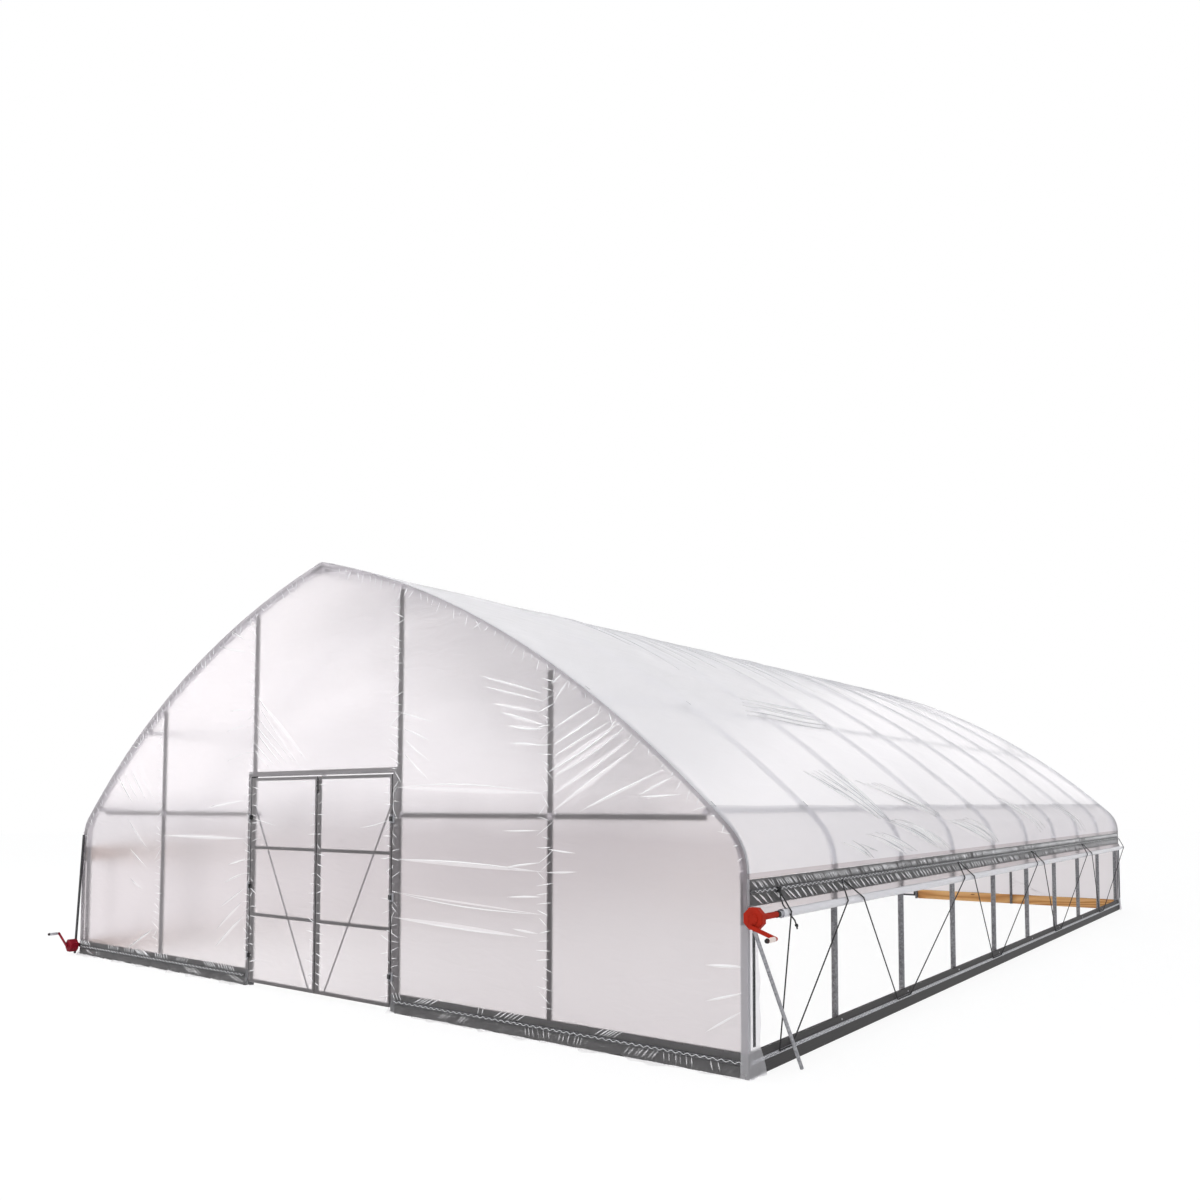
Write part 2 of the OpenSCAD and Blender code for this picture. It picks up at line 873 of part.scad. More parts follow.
// The moving half of a hinge, about the pin's middle
module moving_hinge() {
    plate_back = hinge_r + barrel_gap - seat;
    difference() {
        union() {
            cylinder(h = hinge_h, r = hinge_r, center = true);
            block([-hinge_plate, plate_back - hinge_t, -hinge_h / 2], [0, plate_back, hinge_h / 2]);
        }
        cylinder(h = 2 * hinge_h, r = pin_r + running, center = true);
    }
}

// Puts the children at the pins of the right leaf's hinges
module at_hinges() {
    for (z = hinge_zs)
        translate([hinge_x, front_y - hinge_out, z])
            children();
}

module front_hinges() {
    color("gray")
        both_sides()
            at_hinges()
                fixed_hinge();
}

module back_hinges() {
    at_back()
        front_hinges();
}

// The square-tube frame of the right leaf, with its diagonal brace and hinge halves
module front_right_leaf() {
    leaf_front = front_y - board_out;
    leaf_back = leaf_front + leaf_tube;
    half = leaf_tube / 2;
    foot = [leaf_in + brace_foot_x, leaf_z + half];
    head = [leaf_out - half, brace_top_z];
    color("darkgray") {
        for (x = [leaf_in, leaf_out - leaf_tube])
            block([x, leaf_front, leaf_z], [x + leaf_tube, leaf_back, leaf_top]);
        for (z = [leaf_z + half, low_rail_z, high_rail_z, leaf_top - half])
            block([leaf_in, leaf_front, z - half], [leaf_out, leaf_back, z + half]);
        translate([foot[0], leaf_back - half / 2, foot[1]])
            rotate([0, -atan2(head[1] - foot[1], head[0] - foot[0]), 0])
                translate([0, -brace_w / 4, -brace_w / 2])
                    cube([norm(head - foot), brace_w / 2, brace_w]);
        at_hinges()
            moving_hinge();
    }
}

module front_left_leaf() {
    mirror([1, 0, 0])
        front_right_leaf();
}

module back_right_leaf() {
    at_back()
        front_right_leaf();
}

module back_left_leaf() {
    at_back()
        front_left_leaf();
}

// The film over the face of the right leaf
module front_right_leaf_film() {
    color("gainsboro", 0.5)
        block([leaf_in, front_y - film_out, leaf_z], [leaf_out, front_y - film_in, leaf_top]);
}

module front_left_leaf_film() {
    mirror([1, 0, 0])
        front_right_leaf_film();
}

module back_right_leaf_film() {
    at_back()
        front_right_leaf_film();
}

module back_left_leaf_film() {
    at_back()
        front_left_leaf_film();
}

left_posts();
right_posts();
left_bows();
right_bows();
purlins();
hip_boards();
side_base_boards();
front_base_boards();
back_base_boards();
front_gable_frame();
back_gable_frame();
front_film_strips();
back_film_strips();
left_roof_film();
right_roof_film();
left_shoulder_film();
right_shoulder_film();
left_curtain();
right_curtain();
front_film_left();
front_film_right();
front_film_over_door();
back_film_left();
back_film_right();
back_film_over_door();
lock_channels();
roll_bars();
left_film_roll();
right_film_roll();
left_gearbox();
right_gearbox();
guide_poles();
left_crank();
right_crank();
ropes();
front_hinges();
back_hinges();
front_left_leaf();
front_right_leaf();
back_left_leaf();
back_right_leaf();
front_left_leaf_film();
front_right_leaf_film();
back_left_leaf_film();
back_right_leaf_film();
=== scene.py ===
# %% [markdown]
# A polytunnel greenhouse: galvanised gothic bows under one sheet of clear film, gables of the same film
# with a double door, and sides that roll up on a bar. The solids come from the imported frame, so every piece
# here goes where they are, in metres: X runs across the gable, -Y is the front and Z is up.

import math

import bpy
import numpy as np
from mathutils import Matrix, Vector


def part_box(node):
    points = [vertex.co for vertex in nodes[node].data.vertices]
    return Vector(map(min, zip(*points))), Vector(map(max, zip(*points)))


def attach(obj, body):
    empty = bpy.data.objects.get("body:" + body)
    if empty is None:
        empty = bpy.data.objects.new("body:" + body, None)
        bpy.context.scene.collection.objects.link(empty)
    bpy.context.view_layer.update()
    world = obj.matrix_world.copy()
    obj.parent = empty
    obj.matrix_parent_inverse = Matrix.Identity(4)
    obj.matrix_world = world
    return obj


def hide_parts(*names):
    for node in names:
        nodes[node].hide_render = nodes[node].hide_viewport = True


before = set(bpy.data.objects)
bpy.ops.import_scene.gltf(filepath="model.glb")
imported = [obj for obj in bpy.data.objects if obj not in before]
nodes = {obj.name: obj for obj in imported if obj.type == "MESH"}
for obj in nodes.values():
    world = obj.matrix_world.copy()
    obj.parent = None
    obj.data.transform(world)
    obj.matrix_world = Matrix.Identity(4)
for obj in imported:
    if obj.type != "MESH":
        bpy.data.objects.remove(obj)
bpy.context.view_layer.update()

# %% [markdown]
# The photograph's camera was found by fitting the tunnel's straight lines: it stands by the right front
# corner, a little above eye height, and looks slightly up. The object fills the lower half of the picture,
# which a real camera gets by shifting its back, so the lens shift does the same here.

# %% Camera
CAMERA_PLACE = (7.7631, -11.413, 1.7612)
CAMERA_YAW = 0.61742
CAMERA_PITCH = 0.05147
CAMERA_ROLL = 0.00171

camera_data = bpy.data.cameras.new("photo_camera")
camera_data.sensor_width = 36
camera_data.lens = 29.04
camera_data.shift_x = -0.05245
camera_data.shift_y = 0.12858
camera_data.clip_end = 200
camera = bpy.data.objects.new("photo_camera", camera_data)
camera.location = CAMERA_PLACE
camera.rotation_euler = (math.pi / 2 + CAMERA_PITCH, CAMERA_ROLL, CAMERA_YAW)
bpy.context.scene.collection.objects.link(camera)
bpy.context.scene.camera = camera
bpy.context.scene.view_settings.view_transform = "Standard"
print("camera at", CAMERA_PLACE)

# %% [markdown]
# The studio is a pale floor under an even white sky. The sky that the camera, mirrors and clear film see is
# plain white. One large soft lamp stands above the front. Another, to the left, stands where a crease of
# the front film that tilts a little upward mirrors it towards the camera.

# %% Floor, sky and lamps
FLOOR_HALF = 60
FLOOR_GLOW = 0.86
FLOOR_GLOW_THROUGH_FILM = 0.5
WHITE = (1, 1, 1, 1)


def link_new(data, name):
    """Adds an object for new data to the scene."""
    made = bpy.data.objects.new(name, data)
    bpy.context.scene.collection.objects.link(made)
    return made


def set_inputs(tree, node, inputs):
    """Links the inputs of a node to sockets, or sets them to values."""
    for key, value in inputs.items():
        if isinstance(value, bpy.types.NodeSocket):
            tree.links.new(value, node.inputs[key])
        else:
            node.inputs[key].default_value = value


def add_node(tree, kind, inputs=None, **settings):
    """A new node with its settings and inputs."""
    node = tree.nodes.new(kind)
    for key, value in settings.items():
        setattr(node, key, value)
    set_inputs(tree, node, inputs or {})
    return node


def node_material(name):
    """A new material with its node tree and its Principled shader."""
    material = bpy.data.materials.new(name)
    material.use_nodes = True
    return material, material.node_tree, material.node_tree.nodes["Principled BSDF"]


def math_node(tree, operation, *values):
    """A math node fed by sockets or numbers; gives its output socket."""
    return add_node(tree, "ShaderNodeMath", dict(enumerate(values)), operation=operation).outputs[0]


def sees_backdrop(tree):
    """Two values: 1 for camera, mirror and glass rays, and 1 for glass rays alone."""
    path = tree.nodes.new("ShaderNodeLightPath")
    mirror = math_node(tree, "MAXIMUM", path.outputs["Is Camera Ray"], path.outputs["Is Glossy Ray"])
    through = path.outputs["Is Transmission Ray"]
    return math_node(tree, "MAXIMUM", mirror, through), through


floor_mesh = bpy.data.meshes.new("studio_floor")
floor_corners = [(x * FLOOR_HALF, y * FLOOR_HALF, 0) for x, y in ((-1, -1), (1, -1), (1, 1), (-1, 1))]
floor_mesh.from_pydata(floor_corners, [], [(0, 1, 2, 3)])
floor = link_new(floor_mesh, "studio_floor")
floor_look, floor_tree, floor_shader = node_material("pale_floor")
set_inputs(floor_tree, floor_shader,
           {"Base Color": (0.97, 0.97, 0.97, 1), "Roughness": 0.9, "Specular IOR Level": 0.0})
floor_seen, floor_through = sees_backdrop(floor_tree)
glow_share = math_node(floor_tree, "MULTIPLY", floor_seen, FLOOR_GLOW)
glow_loss = math_node(floor_tree, "MULTIPLY", floor_through, FLOOR_GLOW - FLOOR_GLOW_THROUGH_FILM)
glow = add_node(floor_tree, "ShaderNodeEmission", {"Color": WHITE})
glow_mix = add_node(floor_tree, "ShaderNodeMixShader",
                    {0: math_node(floor_tree, "SUBTRACT", glow_share, glow_loss),
                     1: floor_shader.outputs[0], 2: glow.outputs[0]})
set_inputs(floor_tree, floor_tree.nodes["Material Output"], {"Surface": glow_mix.outputs[0]})
floor_mesh.materials.append(floor_look)

world = bpy.data.worlds.new("white_sky")
bpy.context.scene.world = world
world.use_nodes = True
sky = world.node_tree
sky_light = sky.nodes["Background"]
set_inputs(sky, sky_light, {"Color": (0.97, 0.98, 1.0, 1), "Strength": 1.0})
sky_seen = add_node(sky, "ShaderNodeBackground", {"Color": WHITE})
sky_mix = add_node(sky, "ShaderNodeMixShader",
                   {0: sees_backdrop(sky)[0], 1: sky_light.outputs[0], 2: sky_seen.outputs[0]})
set_inputs(sky, sky.nodes["World Output"], {"Surface": sky_mix.outputs[0]})


def soft_lamp(name, place, aim, width, height, power):
    """A large soft lamp that looks at a point."""
    data = bpy.data.lights.new(name, "AREA")
    data.shape = "RECTANGLE"
    data.size = width
    data.size_y = height
    data.energy = power
    lamp = link_new(data, name)
    lamp.location = place
    lamp.rotation_euler = (Vector(aim) - Vector(place)).to_track_quat("-Z", "Y").to_euler()


soft_lamp("soft_key", (3.0, -15.0, 13.0), (0.0, -5.0, 1.5), 12, 5, 500)
soft_lamp("crease_light", (-15.0, -16.0, 13.5), (0.0, -6.0, 1.8), 9, 5, 850)
print("studio: floor, sky and two lamps")

# %% [markdown]
# Galvanised steel is not one grey. The zinc freezes in small crystals, so each patch has its own brightness
# and gloss. A group makes that spangle once, and every steel finish uses it with its own strength.

# %% Zinc spangle group
CRYSTAL_SHARE = 0.45
NOISE_ROUGHNESS = 0.55


def node_group(name, kind, inputs, outputs):
    """A new node group with named sockets, and its input and output nodes."""
    group = bpy.data.node_groups.new(name, kind)
    for socket, sort, value in inputs:
        made = group.interface.new_socket(socket, in_out="INPUT", socket_type="NodeSocket" + sort)
        if value is not None:
            made.default_value = value
    for socket, sort in outputs:
        group.interface.new_socket(socket, in_out="OUTPUT", socket_type="NodeSocket" + sort)
    return group, group.nodes.new("NodeGroupInput"), group.nodes.new("NodeGroupOutput")


def noise_node(tree, vector, scale, detail=3.0):
    """A noise texture on a vector socket; gives its value socket."""
    inputs = {"Vector": vector, "Scale": scale, "Detail": detail, "Roughness": NOISE_ROUGHNESS}
    return add_node(tree, "ShaderNodeTexNoise", inputs).outputs["Fac"]


def ramp_node(tree, value, stops):
    """A colour ramp with the given (place, colour) stops; gives its colour socket."""
    node = add_node(tree, "ShaderNodeValToRGB", {"Fac": value})
    elements = node.color_ramp.elements
    while len(elements) < len(stops):
        elements.new(0.5)
    for element, (place, colour) in zip(elements, stops):
        element.position = place
        element.color = (*colour, 1)
    return node.outputs["Color"]


def mix_colour(tree, share, first, second):
    """Mixes two colours, each a socket or a plain colour; gives the mixed colour socket."""
    sides = [value if isinstance(value, bpy.types.NodeSocket) else (*value, 1) for value in (first, second)]
    node = add_node(tree, "ShaderNodeMix", {"Factor": share, 6: sides[0], 7: sides[1]}, data_type="RGBA")
    return node.outputs[2]


def scaled(tree, vector, scale):
    """A vector socket stretched by a scale along each axis."""
    return add_node(tree, "ShaderNodeMapping", {"Vector": vector, "Scale": scale}).outputs[0]


spangle, spangle_in, spangle_out = node_group(
    "zinc_spangle", "ShaderNodeTree", [("Vector", "Vector", None), ("Crystal Size", "Float", 90.0)],
    [("Tone", "Float"), ("Height", "Float")])
crystals = add_node(spangle, "ShaderNodeTexVoronoi",
                    {"Vector": spangle_in.outputs["Vector"], "Scale": spangle_in.outputs["Crystal Size"]})
crystal_tone = add_node(spangle, "ShaderNodeSeparateColor", {0: crystals.outputs["Color"]})
stains = noise_node(spangle, spangle_in.outputs["Vector"], 2.5)
tone = math_node(spangle, "ADD", math_node(spangle, "MULTIPLY", crystal_tone.outputs[0], CRYSTAL_SHARE),
                 math_node(spangle, "MULTIPLY", stains, 1 - CRYSTAL_SHARE))
set_inputs(spangle, spangle_out, {"Tone": tone, "Height": crystal_tone.outputs[1]})
print("group", spangle.name, "with", len(spangle.nodes), "nodes")

# %% [markdown]
# The steel is not one grey. The tubes of the gables are the darkest, painted nearly black as painted shade
# for frames that show dark through the backlit film. The posts of the open side are paler, and the channels
# along the sides' feet are bright rolled strip.

# %% Steel finishes


def object_coords(tree):
    """The Object coordinates of a material."""
    return tree.nodes.new("ShaderNodeTexCoord").outputs["Object"]


def bump_from(tree, height, strength, distance, shader):
    """Links a height into a shader's normal through a bump node; gives the bent normal."""
    bump = add_node(tree, "ShaderNodeBump", {"Strength": strength, "Distance": distance, "Height": height})
    tree.links.new(bump.outputs[0], shader.inputs["Normal"])
    return bump.outputs[0]


def zinc_material(name, dark, light, crystal, metallic):
    """Galvanised steel between a dark and a light grey, each with a faint blue cast."""
    material, tree, shader = node_material(name)
    finish = add_node(tree, "ShaderNodeGroup", {"Vector": object_coords(tree), "Crystal Size": crystal},
                      node_tree=spangle)
    tone = finish.outputs["Tone"]
    stops = [(0.25, (dark, dark, dark * 1.08)), (0.75, (light, light, light * 1.05))]
    set_inputs(tree, shader, {"Base Color": ramp_node(tree, tone, stops), "Metallic": metallic,
                              "Roughness": math_node(tree, "MULTIPLY_ADD", tone, -0.2, 0.55)})
    bump_from(tree, finish.outputs["Height"], 0.15, 0.0004, shader)
    return material


tube_zinc = zinc_material("bow_zinc", 0.45, 0.66, 70.0, 0.2)
# Painted shade: the gable frames and door leaves are nearly black, for steel seen dark through the backlit
# film
shaded_gable_zinc = zinc_material("shaded_gable_tube_zinc", 0.012, 0.05, 55.0, 0.2)
post_zinc = zinc_material("side_post_zinc", 0.12, 0.25, 70.0, 0.35)
pole_zinc = zinc_material("guide_pole_zinc", 0.2, 0.36, 70.0, 0.4)
dark_zinc = zinc_material("dark_pole_zinc", 0.03, 0.08, 70.0, 0.4)
pale_gable_zinc = zinc_material("pale_gable_zinc", 0.07, 0.16, 55.0, 0.2)
brace_zinc = zinc_material("brace_zinc", 0.45, 0.65, 90.0, 0.3)
strip_zinc = zinc_material("film_strip_zinc", 0.05, 0.14, 100.0, 0.4)
arch_zinc = zinc_material("arch_strip_zinc", 0.22, 0.38, 100.0, 0.3)
channel_zinc = zinc_material("lock_channel_zinc", 0.3, 0.6, 120.0, 0.5)
fitting_zinc = zinc_material("fitting_zinc", 0.3, 0.52, 160.0, 0.35)
hinge_zinc = zinc_material("hinge_zinc", 0.2, 0.34, 160.0, 0.35)
print("steel finishes:", tube_zinc.name, shaded_gable_zinc.name, post_zinc.name, channel_zinc.name)

# %% [markdown]
# The boards are sawn pine, stained nearly black where they face the weather and left raw inside. The gable
# boards are fresh, the side boards have greyed. One grain group gives both: long rings stretched along the
# board, with knots where the rings close.

# %% Board finishes
INWARD_LIMIT = -3.0
STAIN = ((0.3, (0.014, 0.013, 0.014)), (0.7, (0.042, 0.039, 0.04)))
KNOT_COLOUR = (0.22, 0.09, 0.03)
FRESH_PINE = ((0.42, 0.18, 0.05), (0.58, 0.29, 0.09), (0.7, 0.42, 0.17))
WEATHERED_PINE = ((0.5, 0.42, 0.38), (0.62, 0.53, 0.49), (0.72, 0.64, 0.6))

grain, grain_in, grain_out = node_group(
    "pine_grain", "ShaderNodeTree", [("Vector", "Vector", None), ("Ring Scale", "Float", 14.0)],
    [("Rings", "Float"), ("Knots", "Float"), ("Fibre", "Float")])
grain_place = grain_in.outputs["Vector"]
swirl = noise_node(grain, scaled(grain, grain_place, (0.12, 0.12, 1.0)), 2.2, 2.0)
ring_scale = math_node(grain, "MULTIPLY", swirl, grain_in.outputs["Ring Scale"])
rings = math_node(grain, "MULTIPLY", math_node(grain, "PINGPONG", ring_scale, 0.5), 2.0)
knot_cells = add_node(grain, "ShaderNodeTexVoronoi",
                      {"Vector": scaled(grain, grain_place, (1.4, 1.4, 5.0)), "Scale": 1.1})
knots = math_node(grain, "LESS_THAN", knot_cells.outputs["Distance"], 0.075)
fibre = noise_node(grain, scaled(grain, grain_place, (4.0, 4.0, 160.0)), 1.0, 4.0)
set_inputs(grain, grain_out, {"Rings": rings, "Knots": knots, "Fibre": fibre})


def half_stained(name, axis, tones):
    """A stained board with an inner face of raw pine, found where its direction is against its place."""
    material, tree, shader = node_material(name)
    wood = add_node(tree, "ShaderNodeGroup", {"Vector": object_coords(tree), "Ring Scale": 16.0},
                    node_tree=grain)
    stain = ramp_node(tree, wood.outputs["Fibre"], STAIN)
    pine = ramp_node(tree, wood.outputs["Rings"], list(zip((0.0, 0.5, 1.0), tones)))
    pine = mix_colour(tree, wood.outputs["Knots"], pine, KNOT_COLOUR)
    normals = tree.nodes.new("ShaderNodeTexCoord").outputs["Normal"]
    facing = add_node(tree, "ShaderNodeSeparateXYZ", {0: normals})
    standing = add_node(tree, "ShaderNodeSeparateXYZ", {0: object_coords(tree)})
    against = math_node(tree, "MULTIPLY", facing.outputs[axis], standing.outputs[axis])
    inward = math_node(tree, "LESS_THAN", against, INWARD_LIMIT)
    set_inputs(tree, shader, {"Base Color": mix_colour(tree, inward, stain, pine),
                              "Roughness": math_node(tree, "MULTIPLY_ADD", wood.outputs["Fibre"], 0.3, 0.5)})
    bump_from(tree, wood.outputs["Fibre"], 0.4, 0.002, shader)
    return material


board_look = half_stained("side_board", "X", WEATHERED_PINE)
gable_board_look = half_stained("gable_board", "Y", FRESH_PINE)
print("board finishes:", board_look.name, gable_board_look.name)

# %% [markdown]
# The gearboxes are enamelled castings, orange-red on the right and faded to crimson on the left, with a
# fine orange-peel skin and a little dust. The right grip is pale plastic, both have black caps, and the
# rope is braided.

# %% Enamel, plastic and rope finishes


def enamel_material(name, colour, worn, rough):
    """Enamel or plastic with an orange-peel skin and dusty patches."""
    material, tree, shader = node_material(name)
    place = object_coords(tree)
    tint_share = noise_node(tree, place, 14.0, 4.0)
    set_inputs(tree, shader, {"Base Color": ramp_node(tree, tint_share, [(0.35, colour), (0.8, worn)]),
                              "Roughness": math_node(tree, "MULTIPLY_ADD", tint_share, 0.4, rough),
                              "Specular IOR Level": 0.15})
    bump_from(tree, noise_node(tree, place, 260.0, 2.0), 0.12, 0.0006, shader)
    return material


orange_enamel = enamel_material("orange_enamel", (0.34, 0.012, 0.002), (0.26, 0.012, 0.003), 0.45)
crimson_enamel = enamel_material("crimson_enamel", (0.2, 0.002, 0.012), (0.14, 0.004, 0.012), 0.45)
pale_plastic = enamel_material("pale_grip_plastic", (0.72, 0.64, 0.6), (0.6, 0.5, 0.46), 0.35)
black_plastic = enamel_material("black_plastic", (0.014, 0.013, 0.013), (0.035, 0.033, 0.032), 0.35)
wire_coat = enamel_material("wire_coating", (0.8, 0.8, 0.81), (0.62, 0.62, 0.63), 0.3)

rope_look, rope_tree, rope_shader = node_material("black_rope")
rope_lay = add_node(rope_tree, "ShaderNodeTexWave",
                    {"Vector": object_coords(rope_tree), "Scale": 60.0, "Distortion": 1.0},
                    bands_direction="DIAGONAL").outputs["Fac"]
rope_tones = [(0.2, (0.008, 0.008, 0.009)), (0.8, (0.03, 0.03, 0.032))]
rope_colour = ramp_node(rope_tree, rope_lay, rope_tones)
set_inputs(rope_tree, rope_shader, {"Base Color": rope_colour, "Roughness": 0.75})
bump_from(rope_tree, rope_lay, 0.5, 0.002, rope_shader)
print("enamel, plastic and rope finishes ready")

# %% [markdown]
# Greenhouse film is clear but hazy: what lies against it shows plainly, and what stands far behind melts
# into a white glow. Rough transmission with a low index of refraction does exactly that, because the light
# is bent by a small random angle. A clear coat over it carries the sharp gloss that lights up the creases.
# Where the film lies tight on a board there is little haze. The roof's film has weathered milky. A pinched
# fold, where several layers lie on each other, is nearly white. Grey folds on the bright roof are painted
# shade, for the shaded side of its gathers.

# %% Film finishes
crinkle, crinkle_in, crinkle_out = node_group(
    "film_crinkle", "ShaderNodeTree", [("Vector", "Vector", None), ("Across", "Float", 24.0)],
    [("Height", "Float"), ("Dirt And Shade", "Float")])
film_place = crinkle_in.outputs["Vector"]
crinkle_place = scaled(crinkle, film_place, (1.0, 1.0, 3.5))
broad = add_node(crinkle, "ShaderNodeTexNoise",
                 {"Vector": crinkle_place, "Scale": 2.6, "Detail": 2.0, "Distortion": 0.8})
fine = add_node(crinkle, "ShaderNodeTexNoise",
                {"Vector": crinkle_place, "Scale": crinkle_in.outputs["Across"], "Detail": 2.0})
crinkle_height = math_node(crinkle, "ADD", broad.outputs["Fac"],
                           math_node(crinkle, "MULTIPLY", fine.outputs["Fac"], 0.05))
# Dirt splashes, and painted shade of the dim inside of the tunnel seen through it, grey the film from the
# ground up to about head height, more so towards the open side
cloud = noise_node(crinkle, film_place, 0.7)
dirt_shade_xyz = add_node(crinkle, "ShaderNodeSeparateXYZ", {0: film_place})
dirt_shade_edge = math_node(crinkle, "MULTIPLY_ADD", cloud, 0.5, dirt_shade_xyz.outputs["Z"])
dirt_shade_height = add_node(crinkle, "ShaderNodeMapRange",
                       {"Value": dirt_shade_edge, "From Min": 2.15, "From Max": 1.75})
dirt_shade_side = add_node(crinkle, "ShaderNodeMapRange",
                     {"Value": dirt_shade_xyz.outputs["X"], "From Min": -1.0, "From Max": 3.0, "To Min": 0.5},
                     interpolation_type="SMOOTHSTEP")
# Painted shade and dirt: this share darkens the film's tint towards the ground and towards the open side
tint_share = math_node(crinkle, "MULTIPLY", dirt_shade_height.outputs[0], dirt_shade_side.outputs[0])
set_inputs(crinkle, crinkle_out, {"Height": crinkle_height, "Dirt And Shade": tint_share})


def film_material(name, clear, dirt_shade_tint, clarity, haze, index, gloss, bump_strength):
    """Hazy film between a clear tint and a darker tint of dirt and painted shade, with a clarity of 1 for
    film that only transmits.
    """
    material, tree, shader = node_material(name)
    finish = add_node(tree, "ShaderNodeGroup", {"Vector": object_coords(tree)}, node_tree=crinkle)
    set_inputs(tree, shader, {"Base Color": mix_colour(tree, finish.outputs["Dirt And Shade"], clear, dirt_shade_tint),
                              "Transmission Weight": clarity, "IOR": index, "Roughness": haze,
                              "Coat Weight": gloss, "Coat Roughness": 0.08})
    bent = bump_from(tree, finish.outputs["Height"], bump_strength, 0.02, shader)
    tree.links.new(bent, shader.inputs["Coat Normal"])
    return material


# The darker second tint is dirt and painted shade of the dim inside seen through the lower film
film_look = film_material("greenhouse_film", (0.998, 0.95, 0.964), (0.59, 0.54, 0.555),
                          0.9, 0.9, 1.1, 0.4, 0.2)
tight_look = film_material("tight_film", (0.93, 0.92, 0.93), (0.93, 0.92, 0.93), 0.95, 0.4, 1.05, 0.1, 0.1)
roof_look = film_material("roof_film", (0.99, 0.98, 0.995), (0.98, 0.97, 0.985), 0.6, 0.95, 1.1, 0.3, 0.12)
shoulder_look = film_material("shoulder_film", (0.84, 0.83, 0.85), (0.83, 0.82, 0.845),
                              0.75, 0.9, 1.1, 0.3, 0.12)
rolled_look = film_material("rolled_film", (0.9, 0.895, 0.91), (0.84, 0.83, 0.86), 0.4, 0.6, 1.3, 0.6, 0.4)
fold_look = film_material("folded_film", (0.985, 0.98, 0.985), (0.985, 0.98, 0.985), 0.15, 0.5, 1.3, 0.4, 0.1)
pleat_look = film_material("pleated_film", (0.985, 0.97, 0.975), (0.94, 0.925, 0.93), 0.7, 0.9, 1.1, 0.4, 0.1)
# Painted shade: a grey fold finish for the shaded side of gathers on the bright roof
fold_shade_look = film_material("fold_shade_film", (0.62, 0.62, 0.64), (0.62, 0.62, 0.64),
                               0.15, 0.6, 1.3, 0.2, 0.1)
print("film finishes:", film_look.name, tight_look.name, roof_look.name, rolled_look.name, fold_look.name)

# %% [markdown]
# The CAD nodes whose shape is right stay, and get their finishes here. Some faces get a second finish: the
# braces of the doors and the strips over the arches are paler than the rest, one half of each gable frame
# carries less painted shade than the other, the left guide pole is darker than the right one, and the upper
# channels have dulled.

# %% Finishes of the CAD nodes
LEAVES = ("front_left", "front_right", "back_left", "back_right")
LEVEL_LIMIT = 0.1
UP_LIMIT = 0.99
SIDE_FOOT_TOP = 0.5
SIDE_FOOT_END = 5.9
DOOR_FRAME_HALF = 1.3
DOOR_FRAME_TOP = 2.4
node_finish = {
    tube_zinc: ["left_bows", "right_bows", "purlins", "roll_bars"],
    post_zinc: ["left_posts", "right_posts"],
    shaded_gable_zinc: ["front_gable_frame", "back_gable_frame"] + [leaf + "_leaf" for leaf in LEAVES],
    pole_zinc: ["guide_poles"],
    strip_zinc: ["front_film_strips", "back_film_strips"],
    channel_zinc: ["lock_channels"],
    hinge_zinc: ["front_hinges", "back_hinges"],
    board_look: ["hip_boards", "side_base_boards"],
    gable_board_look: ["front_base_boards", "back_base_boards"],
    orange_enamel: ["right_gearbox", "right_crank"],
    crimson_enamel: ["left_gearbox", "left_crank"],
    rope_look: ["ropes"],
}
for look, names in node_finish.items():
    for name in names:
        nodes[name].data.materials.clear()
        nodes[name].data.materials.append(look)


def paint_faces(name, look, chosen):
    """Gives another finish to the faces of a CAD node that a rule on place and direction picks."""
    piece = nodes[name]
    piece.data.materials.append(look)
    last = len(piece.data.materials) - 1
    turn = piece.matrix_world.to_3x3()
    count = 0
    for face in piece.data.polygons:
        if chosen(piece.matrix_world @ face.center, turn @ face.normal):
            face.material_index = last
            count += 1
    return count


def slopes(place, way):
    """True for a face that looks neither level nor straight up, as only the faces of a brace do."""
    return abs(way.y) < LEVEL_LIMIT and LEVEL_LIMIT < abs(way.z) < UP_LIMIT


def at_hip_or_gable(place, way):
    """True for a face of the channels on the hip boards and gables, not of those along the sides' feet."""
    return place.z > SIDE_FOOT_TOP or abs(place.y) > SIDE_FOOT_END


def over_arch(place, way):
    """True for a face of the strips that follow the arches and legs, away from the door frame."""
    return abs(place.x) > DOOR_FRAME_HALF or place.z > DOOR_FRAME_TOP


# Painted shade: one half of each gable frame gets a paler copy of the nearly black shaded gable steel
painted = [paint_faces("guide_poles", dark_zinc, lambda place, way: place.x < 0),
           paint_faces("front_gable_frame", pale_gable_zinc, lambda place, way: place.x < 0),
           paint_faces("back_gable_frame", pale_gable_zinc, lambda place, way: place.x > 0),
           paint_faces("lock_channels", strip_zinc, at_hip_or_gable)]
painted += [paint_faces(strips, arch_zinc, over_arch) for strips in ("front_film_strips", "back_film_strips")]
painted += [paint_faces(leaf + "_leaf", brace_zinc, slopes) for leaf in LEAVES]
print("finished CAD nodes:", sum(len(names) for names in node_finish.values()), "repainted faces:", painted)

# %% [markdown]
# Two Geometry Nodes trees make what repeats or follows a line. The first turns lines into round strands
# whose thickness is stored along them: wire, rope ends and the pinched folds of the film. The second sets
# turned pieces, such as bolt heads, washers and clamp bands, on points that know their direction, radius
# and length.

# %% Geometry Nodes trees


def geometry_tree(name, inputs):
    """A new geometry node tree with named inputs, and its input and output nodes."""
    return node_group(name, "GeometryNodeTree", [("Geometry", "Geometry", None)] + inputs,
                      [("Geometry", "Geometry")])


def stored_value(tree, name, kind):
    """The output socket of a stored attribute."""
    node = add_node(tree, "GeometryNodeInputNamedAttribute", {"Name": name}, data_type=kind)
    return node.outputs["Attribute"]


